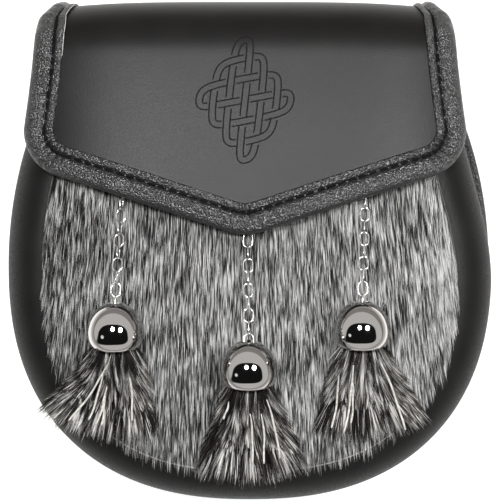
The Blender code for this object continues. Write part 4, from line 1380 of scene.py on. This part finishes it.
def add_knot(line, pairs):
    along = np.roll(line, -1, axis=0) - np.roll(line, 1, axis=0)
    along /= np.linalg.norm(along, axis=1)[:, None]
    normal = np.stack([-along[:, 1], along[:, 0]], axis=1)
    front = FRONT_STARTS + ROLL_Y - KNOT_MIDDLE_Y
    ring_sets = []
    for run in shown_runs(line, pairs):
        for side in (-1.0, 1.0):
            middle = line[run] + normal[run] * side * 0.5 * KNOT_STRAND
            left = middle + normal[run] * 0.5 * KNOT_LINE
            right = middle - normal[run] * 0.5 * KNOT_LINE
            rings = []
            for flat, height in ((left, -0.05), (left, 0.04), (right, 0.04), (right, -0.05)):
                rings.append(flap_place(flat[:, 0], front - flat[:, 1], height * MM))
            ring_sets.append(np.stack(rings, axis=1))
    return add_shells("knot_ornament", ring_sets, etch_material, smooth=False)


knot_points = knot_line()
knot_crossings = crossings(knot_points)
settle(add_knot(knot_points, knot_crossings), "smooth_leather")
print("the knot crosses itself", len(knot_crossings), "times")

# %% [markdown]
# Each chain hangs from a post under the flap and ends in its bell. Its joints are laid one pitch apart
# on a line that starts low on the fur and ends level at the bell's hole, the same line as in the frame.

# %% Where the chains and bells hang
WIRE = 0.55 * MM
LINK_LENGTH = 5.9 * MM
LINK_WIDTH = 4.1 * MM
LINK_HALF = 0.5 * (LINK_LENGTH - WIRE)
PITCH = 2.0 * LINK_HALF - WIRE + 0.1 * MM
BELL_RADIUS = 10.7 * MM
BELL_HEIGHT = 18.2 * MM
BELL_BELLY = 6.2 * MM
BELL_WALL = 0.8 * MM
BELL_HOLE_RADIUS = 2.8 * MM
BELL_MOUTH_RADIUS = 8.8 * MM
BELL_TILT = math.radians(7.0)
LINK_IN_BELL = 2.8 * MM
CHAIN_SLACK = 0.97
CHAIN_LEVELS = 0.85  # share of its run over which a chain sinks from the bell to the fur
TASSEL_LENGTH = 35.0 * MM
UP = Vector((0.0, 0.0, 1.0))
HANGINGS = (
    # side, top across, hole across, hole down, links, early, twist, swing, spread, length
    ("left", -0.2553, -0.2700, 0.159, 11, 45.0, 34.0, -14.5, 23.5, 1.00),
    ("centre", -0.0047, -0.0026, 0.314, 11, 0.0, 0.0, 2.0, 19.0, 1.07),
    ("right", 0.2342, 0.2236, 0.153, 11, 45.0, 0.0, 8.0, 21.0, 1.00),
)


def frame_matrix(along):
    x = along.normalized()
    y = UP.cross(x).normalized()
    return Matrix((x, y, x.cross(y))).transposed()


class Hanging:
    """Places of one chain, its bell and its tassel."""

    def __init__(self, row):
        self.side, top_across, hole_across, hole_down, self.links = row[:5]
        early, twist, swing, spread, length = row[5:]
        self.top_x = top_across * BODY_WIDTH
        self.hole_x = hole_across * BODY_WIDTH
        hole_y = WIDEST_Y - hole_down * BODY_DROP
        self.early, self.twist = math.radians(early), math.radians(twist)
        self.swing, self.spread = math.radians(swing), math.radians(spread)
        self.length = length * TASSEL_LENGTH
        belly_y = hole_y - (BELL_HEIGHT - BELL_BELLY) * math.cos(BELL_TILT)
        rest = max(fur_top(self.hole_x, belly_y + s * BELL_BELLY) for s in (-1.0, 1.0))
        self.axis = Vector((0.0, math.cos(BELL_TILT), math.sin(BELL_TILT)))
        self.belly = Vector((self.hole_x, belly_y, rest + CLEARANCE + BELL_RADIUS / math.cos(BELL_TILT)))
        self.mouth = self.belly - self.axis * BELL_BELLY
        self.hole = self.mouth + self.axis * BELL_HEIGHT
        self.chain_end = self.hole - self.axis * LINK_IN_BELL
        self.run = self.links * PITCH * CHAIN_SLACK
        self.joints = self.lay_chain()

    def route(self, y):
        share = min(1.0, max(0.0, (y - self.chain_end.y) / self.run))
        x = self.chain_end.x + (self.top_x - self.chain_end.x) * share
        low = fur_top(x, y) + CLEARANCE + 0.5 * LINK_WIDTH
        blend = float(smooth_step(share, 0.0, CHAIN_LEVELS))
        return Vector((x, y, self.chain_end.z + (low - self.chain_end.z) * blend))

    def lay_chain(self):
        joints = [self.chain_end]
        for _ in range(self.links):
            low, high = joints[-1].y + 0.5 * PITCH, joints[-1].y + PITCH
            for _ in range(40):
                middle = 0.5 * (low + high)
                if (self.route(middle) - joints[-1]).length < PITCH:
                    low = middle
                else:
                    high = middle
            joints.append(self.route(low))
        return joints[::-1]

    def link_axes(self, index):
        along = self.joints[index + 1] - self.joints[index]
        loose = 1.0 - index / (self.links - 1)
        turn = 0.5 * math.pi * index - self.early * min(index, 2)
        turn += self.twist * math.sin(math.pi * loose) * loose
        return frame_matrix(along) @ Matrix.Rotation(turn, 3, "X")


hangings = [Hanging(row) for row in HANGINGS]
print("bells stand", [round((h.belly.z + BELL_RADIUS) / MM, 1) for h in hangings], "mm high")

# %% [markdown]
# A link is a stadium of round wire. Geometry Nodes copy it along the joints, each copy turned a right
# angle from the last. The plated wire is bright and a little uneven in its polish.

# %% Chains
WIRE_SIDES = 10
wire_material = metal("plated_wire", (0.72, 0.71, 0.69), 0.24, 600.0, 0.19, 0.30)


def link_form():
    bend = 0.5 * (LINK_WIDTH - WIRE)
    straight = LINK_HALF - bend
    rings = []
    for end in (1.0, -1.0):
        for angle in (math.radians(-90.0 + 15.0 * i) for i in range(13)):
            out = Vector((end * math.cos(angle), end * math.sin(angle), 0.0))
            middle = Vector((end * straight, 0.0, 0.0)) + bend * out
            ring = []
            for turn in (math.tau * k / WIRE_SIDES for k in range(WIRE_SIDES)):
                ring.append(tuple(middle + 0.5 * WIRE * (out * math.cos(turn) + UP * math.sin(turn))))
            rings.append(ring)
    return form_object("link_form", rings, closed_along=True)


link = link_form()
for hanging in hangings:
    axes = [hanging.link_axes(index) for index in range(hanging.links)]
    middles = [tuple(0.5 * (a + b)) for a, b in zip(hanging.joints, hanging.joints[1:])]
    aheads = [tuple(turned @ Vector((1.0, 0.0, 0.0))) for turned in axes]
    carrier = form_points("link_places", middles, aheads, [tuple(turned @ UP) for turned in axes])
    chain = place_along.run(carrier, f"chain_{hanging.side}_links", {"Form": link, "Material": wire_material})
    bpy.data.objects.remove(carrier)
    settle(chain, "steel", f"chain_{hanging.side}")
bpy.data.objects.remove(link)
print("chains made:", len(hangings))

# %% [markdown]
# A bell is a turned shell: a dome with a small hole, drawn in a little at the mouth. Spinning the
# outline of its wall round the bell's axis gives both faces at once.

# %% Bells
BELL_SIDES = 96
BELL_LIP = ((0.72, 0.0), (0.785, 0.06), (0.865, 0.22), (0.940, 0.46), (0.985, 0.73))
chrome_material = metal("polished_chrome", (0.60, 0.585, 0.57), 0.035, 120.0, 0.02, 0.06)


def bell_outline():
    """Radius and height from the mouth's lip, over the widest ring, to the hole."""
    last = math.acos(BELL_HOLE_RADIUS / BELL_RADIUS)
    lip = [(r * BELL_RADIUS, h * BELL_BELLY) for r, h in BELL_LIP]
    dome = []
    for turn in (last * i / 12 for i in range(13)):
        dome.append((BELL_RADIUS * math.cos(turn), BELL_BELLY + (BELL_HEIGHT - BELL_BELLY) * math.sin(turn)))
    return smooth_section(lip + dome, 40)


def add_bell(hanging):
    outer = bell_outline()
    inner = outer + left_normals(outer) * BELL_WALL
    inner[0] = (outer[0, 0] - BELL_WALL, outer[0, 1] + 0.1 * MM)
    section = np.concatenate([outer, inner[::-1]])
    axes = frame_matrix(hanging.axis)
    rings = []
    for turn in (math.tau * i / BELL_SIDES for i in range(BELL_SIDES)):
        spoke = axes @ Vector((0.0, math.cos(turn), math.sin(turn)))
        rings.append([tuple(hanging.mouth + hanging.axis * h + spoke * r) for r, h in section])
    return add_swept(f"bell_{hanging.side}_shell", rings, chrome_material, closed_along=True)


for hanging in hangings:
    bell = add_bell(hanging)
    settle(bell, "chrome", f"bell_{hanging.side}")
print("bells made:", len(hangings))

# %% [markdown]
# A tassel is a piece of hide with its hair on, cut into strips and bound inside the bell. The strips
# splay as they leave the mouth, five on the fur and three on top. Each is a thin ribbon that widens to
# its end, so together they close the fan.

# %% Tassel strips
LOCK_START = 0.35
LOCK_STATIONS = ((0.0, 0.20), (0.13, 0.35), (0.50, 1.05), (1.0, 1.15))
LOCKS = (
    # turn, reach, layer
    (-1.00, 0.96, 0),
    (-0.50, 0.98, 0),
    (0.00, 1.00, 0),
    (0.50, 0.98, 0),
    (1.00, 0.96, 0),
    (-0.68, 0.90, 1),
    (0.02, 0.93, 1),
    (0.70, 0.91, 1),
)
LAYER_LIFT = 2.3 * MM
LOCK_POINTS = 24
STRIP_END_WIDTH = 8.4 * MM
STRIP_ROOT_WIDTH = 4.2 * MM
STRIP_HIDE = 0.9 * MM
STRIP_LIFT = 1.6 * MM
STRIP_SHARES = (0.90, 0.65)  # of the width, by layer
STRIP_STARTS = (-0.20, 0.16)  # height in the mouth as a share of its radius, by layer
STRIP_FAN = 0.62  # how far the outermost strip starts aside, as a share of the mouth's radius
STRIP_SECTION = ((-1.0, 0.0), (-0.6, -0.5), (0.6, -0.5), (1.0, 0.0), (0.6, 0.5), (-0.6, 0.5))
STRIP_BOW = 0.5 * MM
HIDE_REACH = 0.80
strip_material = mottled_material(
    "strip_skin", (0.02, 0.018, 0.016), 0.85, 900.0, (0.006, 0.0055, 0.005), (0.03, 0.027, 0.024)
)


def lock_line(hanging, turn, reach, layer):
    """Middle line of a strip: out of the mouth, splaying, and down onto the fur."""
    start = hanging.mouth + hanging.axis * LOCK_START * BELL_BELLY
    start = start + Vector((STRIP_FAN * turn, 0.0, STRIP_STARTS[layer])) * BELL_MOUTH_RADIUS
    length = reach * hanging.length + LOCK_START * BELL_BELLY
    shares = np.linspace(0.0, 1.0, LOCK_POINTS)
    table = np.array(LOCK_STATIONS)
    angles = np.interp(shares, table[:, 0], table[:, 1]) * (hanging.swing + turn * hanging.spread)
    line = np.zeros((LOCK_POINTS, 3))
    place = np.array([start.x, start.y])
    for i, (share, angle) in enumerate(zip(shares, angles)):
        if i:
            place = place + np.array([math.sin(angle), -math.cos(angle)]) * length / (LOCK_POINTS - 1)
        ground = fur_top(*place) + CLEARANCE + STRIP_LIFT + layer * LAYER_LIFT
        z = ground + (start.z - ground) * (1.0 - float(smooth_step(share, 0.0, 0.90)))
        line[i] = (place[0], place[1], z)
    return line


def strip_sides(line):
    """The ribbon's directions along, across and out of its face, and its half width, by station."""
    along = np.gradient(line, axis=0)
    along /= np.linalg.norm(along, axis=1)[:, None]
    side = np.cross(along, np.array(UP))
    side /= np.linalg.norm(side, axis=1)[:, None]
    out = np.cross(side, along)
    share = np.linspace(0.0, 1.0, len(line))[:, None]
    half = 0.5 * (STRIP_ROOT_WIDTH + (STRIP_END_WIDTH - STRIP_ROOT_WIDTH) * share)
    return along, side, out, half, share


for hanging in hangings:
    ring_sets = []
    for turn, reach, layer in LOCKS:
        line = lock_line(hanging, turn, reach * HIDE_REACH, layer)
        _, side, out, half, _ = strip_sides(line)
        half = half * STRIP_SHARES[layer]
        rings = []
        for a, b in STRIP_SECTION:
            rings.append(line + side * half * a + out * (STRIP_HIDE * b - STRIP_BOW * abs(a)))
        ring_sets.append(np.stack(rings, axis=1))
    strips = add_shells(f"tassel_{hanging.side}_strips", ring_sets, strip_material)
    settle(strips, "tassel_fur", f"tassel_{hanging.side}")
print("strips in each tassel:", len(LOCKS))

# %% [markdown]
# Hair grows from each strip and lies along it, and the hair near a strip's sides leans outwards. The
# same tree as the front's scatters it. The carrier is a bowed ribbon on each strip: its flow attribute
# holds the direction, and its coat attribute holds painted shade that darkens the hair near the bell and
# between the strips, painted light on the top strips, and darker ends and outer strips.

# %% Tassel hair
TASSEL_STOPS = (
    (0.00, (0.005, 0.004, 0.004)),
    (0.32, (0.026, 0.022, 0.019)),
    (0.55, (0.120, 0.112, 0.103)),
    (0.78, (0.360, 0.350, 0.335)),
    (1.00, (0.800, 0.790, 0.760)),
)
TASSEL_HAIRS = 15000
TASSEL_ROW = (8.5 * MM, 0.6, 0.10, 0.20, 0.5 * MM, 0.48)  # HAIR_COLUMNS after the density
HAIR_SHARES = (1.0, 0.7)  # of the strip's width, by layer
HAIR_BOW = 0.9 * MM
HAIR_LEAN = (0.432, -0.288)  # sideways at a strip's side: at the root, and its change to the end
HAIR_CLOSES = 0.30
# Tones added to the tassel hair: painted shade near the bell and at each strip's sides, painted light on the
# top strips, and darker ends and outer strips.
ROOT_PAINTED_SHADE = -0.04
END_TONE = -0.10
GAP_PAINTED_SHADE = -0.36
TOP_PAINTED_LIGHT = 0.08
OUTER_TONE = -0.12
# The tassel hair also takes painted shade towards each root.
tassel_material = hair_material("tassel_hair", TASSEL_STOPS, painted_root_shade=0.45)
tassel_hair = hair_form("tassel_hair_form", 0.0, 0.0170)


def add_tassel_hair(hanging, seed):
    points, faces, flows, coat_tones_and_painted_shade = [], [], [], []
    area = 0.0
    across = np.linspace(-1.0, 1.0, 7)
    for turn, reach, layer in LOCKS:
        line = lock_line(hanging, turn, reach * HIDE_REACH, layer)
        along, side, out, half, share = strip_sides(line)
        half = half * HAIR_SHARES[layer]
        first = len(points)
        for u in across:
            row = line + side * half * u + out * (0.7 * STRIP_HIDE - HAIR_BOW * u * u)
            points += row.tolist()
            lean = u * (HAIR_LEAN[0] + HAIR_LEAN[1] * share) - HAIR_CLOSES * turn * (1.0 - share)
            flows += (along + side * lean).tolist()
            # Painted shade near the bell and at the strip's sides, painted light on the top layer.
            coat = ROOT_PAINTED_SHADE * (1.0 - share[:, 0]) ** 1.5 + END_TONE * share[:, 0] ** 2
            coat = coat + GAP_PAINTED_SHADE * abs(u) ** 3 + TOP_PAINTED_LIGHT * layer + OUTER_TONE * abs(turn)
            coat_tones_and_painted_shade += coat.tolist()
        for j in range(len(across) - 1):
            for i in range(LOCK_POINTS - 1):
                a = first + j * LOCK_POINTS + i
                faces.append((a, a + 1, a + LOCK_POINTS + 1, a + LOCK_POINTS))
        steps = np.linalg.norm(np.diff(line, axis=0), axis=1)
        area += float(np.sum(steps * (half[1:, 0] + half[:-1, 0])))
    carrier = add_piece("tassel_ribbons", points, faces, None)
    set_attribute(carrier, "flow", "FLOAT_VECTOR", flows)
    set_attribute(carrier, "coat", "FLOAT", coat_tones_and_painted_shade)
    if carrier.data.polygons[0].normal.z < 0.0:
        carrier.data.flip_normals()
    name = f"tassel_{hanging.side}_hair"
    numbers = (TASSEL_HAIRS / area, *TASSEL_ROW)
    grow_hair(carrier, name, "tassel_fur", tassel_hair, tassel_material, seed, numbers)
    bpy.data.objects.remove(carrier)


for number, hanging in enumerate(hangings):
    add_tassel_hair(hanging, 31 + number)
bpy.data.objects.remove(tassel_hair)

# %% [markdown]
# Where the hide was cut, its raw edge shows cream between the hairs. A raw edge is a thin upright band
# with a rounded top, standing on its strip and a little bowed. Their places are listed one by one: four
# or five edges on each fan catch the light along most of its length.

# %% Raw edges
RAW_EDGES = {
    # across and up at the start and at the end, in millimetres
    "left": (
        (-53.6, -43.1, -69.1, -65.2),
        (-55.8, -46.9, -61.5, -64.8),
        (-54.4, -51.8, -58.8, -67.1),
        (-55.3, -55.6, -56.6, -66.9),
        (-45.5, -48.4, -45.1, -65.0),
    ),
    "centre": (
        (-7.9, -57.4, -10.2, -64.0),
        (0.0, -62.0, 0.8, -81.3),
        (4.4, -62.0, 5.2, -81.4),
        (6.3, -56.5, 11.3, -79.4),
    ),
    "right": (
        (38.9, -43.5, 35.8, -69.7),
        (38.9, -50.5, 38.5, -65.9),
        (33.5, -47.6, 31.2, -67.8),
        (49.5, -43.0, 59.1, -68.6),
    ),
}
RAW_WIDTH = 0.75 * MM
RAW_TOP = 6.6 * MM
RAW_SECTION = (
    # across as a share of half the width, and up in millimetres
    (-0.8, -3.0),
    (0.8, -3.0),
    (1.0, -0.35),
    (0.6, -0.08),
    (0.0, 0.0),
    (-0.6, -0.08),
    (-1.0, -0.35),
)
RAW_START = 0.50  # height in the bell's mouth as a share of its radius
RAW_SETTLES = 27.0 * MM
RAW_BOW = 0.03
RAW_TREMOR = (0.15, 9.0)
RAW_POINTS = 20
cream_material = mottled_material(
    "raw_cream_hide", (0.62, 0.58, 0.50), 0.75, 800.0, (0.34, 0.33, 0.30), (0.66, 0.64, 0.60)
)


def raw_edge_line(hanging, x0, y0, x1, y1):
    """A bowed line from a start to an end that rides just over the tassel's hair."""
    share = np.linspace(0.0, 1.0, RAW_POINTS)
    run = np.array([x1 - x0, y1 - y0])
    normal = np.array([-run[1], run[0]]) / np.linalg.norm(run)
    tremor = RAW_TREMOR[0] * np.sin(RAW_TREMOR[1] * share + x0)
    bow = RAW_BOW * np.linalg.norm(run) * np.sin(math.pi * share) + tremor
    xy = (np.array([x0, y0]) + run * share[:, None] + normal * bow[:, None]) * MM
    start_z = hanging.mouth.z + RAW_START * BELL_MOUTH_RADIUS
    z = fur_top(xy[:, 0], xy[:, 1]) + RAW_TOP
    below = np.maximum(0.0, hanging.mouth.y - xy[:, 1])
    near = 1.0 - smooth_step(below, 0.0, RAW_SETTLES)
    return np.stack([xy[:, 0], xy[:, 1], z + (np.maximum(start_z, z) - z) * near], axis=1)


for hanging in hangings:
    ring_sets = []
    for row in RAW_EDGES[hanging.side]:
        line = raw_edge_line(hanging, *row)
        side = np.cross(np.gradient(line, axis=0), np.array(UP))
        side /= np.linalg.norm(side, axis=1)[:, None]
        share = np.linspace(0.0, 1.0, len(line))[:, None]
        half = 0.5 * RAW_WIDTH * (0.55 + 0.45 * smooth_step(share, 0.0, 0.3))
        half = half * (1.0 - 0.3 * smooth_step(share, 0.93, 1.0))
        rings = [line + side * half * a + np.array(UP) * b * MM for a, b in RAW_SECTION]
        ring_sets.append(np.stack(rings, axis=1))
    edges = add_shells(f"tassel_{hanging.side}_raw_edges", ring_sets, cream_material)
    settle(edges, "tassel_fur")
print("raw edges:", sum(len(rows) for rows in RAW_EDGES.values()))

# %% [markdown]
# What stays from the frame is hidden hardware and the strap's fittings. Their shapes are right, so they
# only take a finish.

# %% Hardware
HARDWARE = {
    "closure_stud": wire_material,
    "chain_anchor_left": wire_material,
    "chain_anchor_centre": wire_material,
    "chain_anchor_right": wire_material,
    "strap_ring_left": wire_material,
    "strap_ring_right": wire_material,
    "strap_tab_left": back_leather,
    "strap_tab_right": back_leather,
}
for name, material in HARDWARE.items():
    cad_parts[name].data.materials.clear()
    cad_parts[name].data.materials.append(material)
print("hardware finished:", len(HARDWARE))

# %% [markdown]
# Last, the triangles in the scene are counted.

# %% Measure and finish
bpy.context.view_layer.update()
meshes = [made.data for made in bpy.context.scene.objects if made.type == "MESH"]
print("triangles in the scene:", sum(len(p.vertices) - 2 for mesh in meshes for p in mesh.polygons))
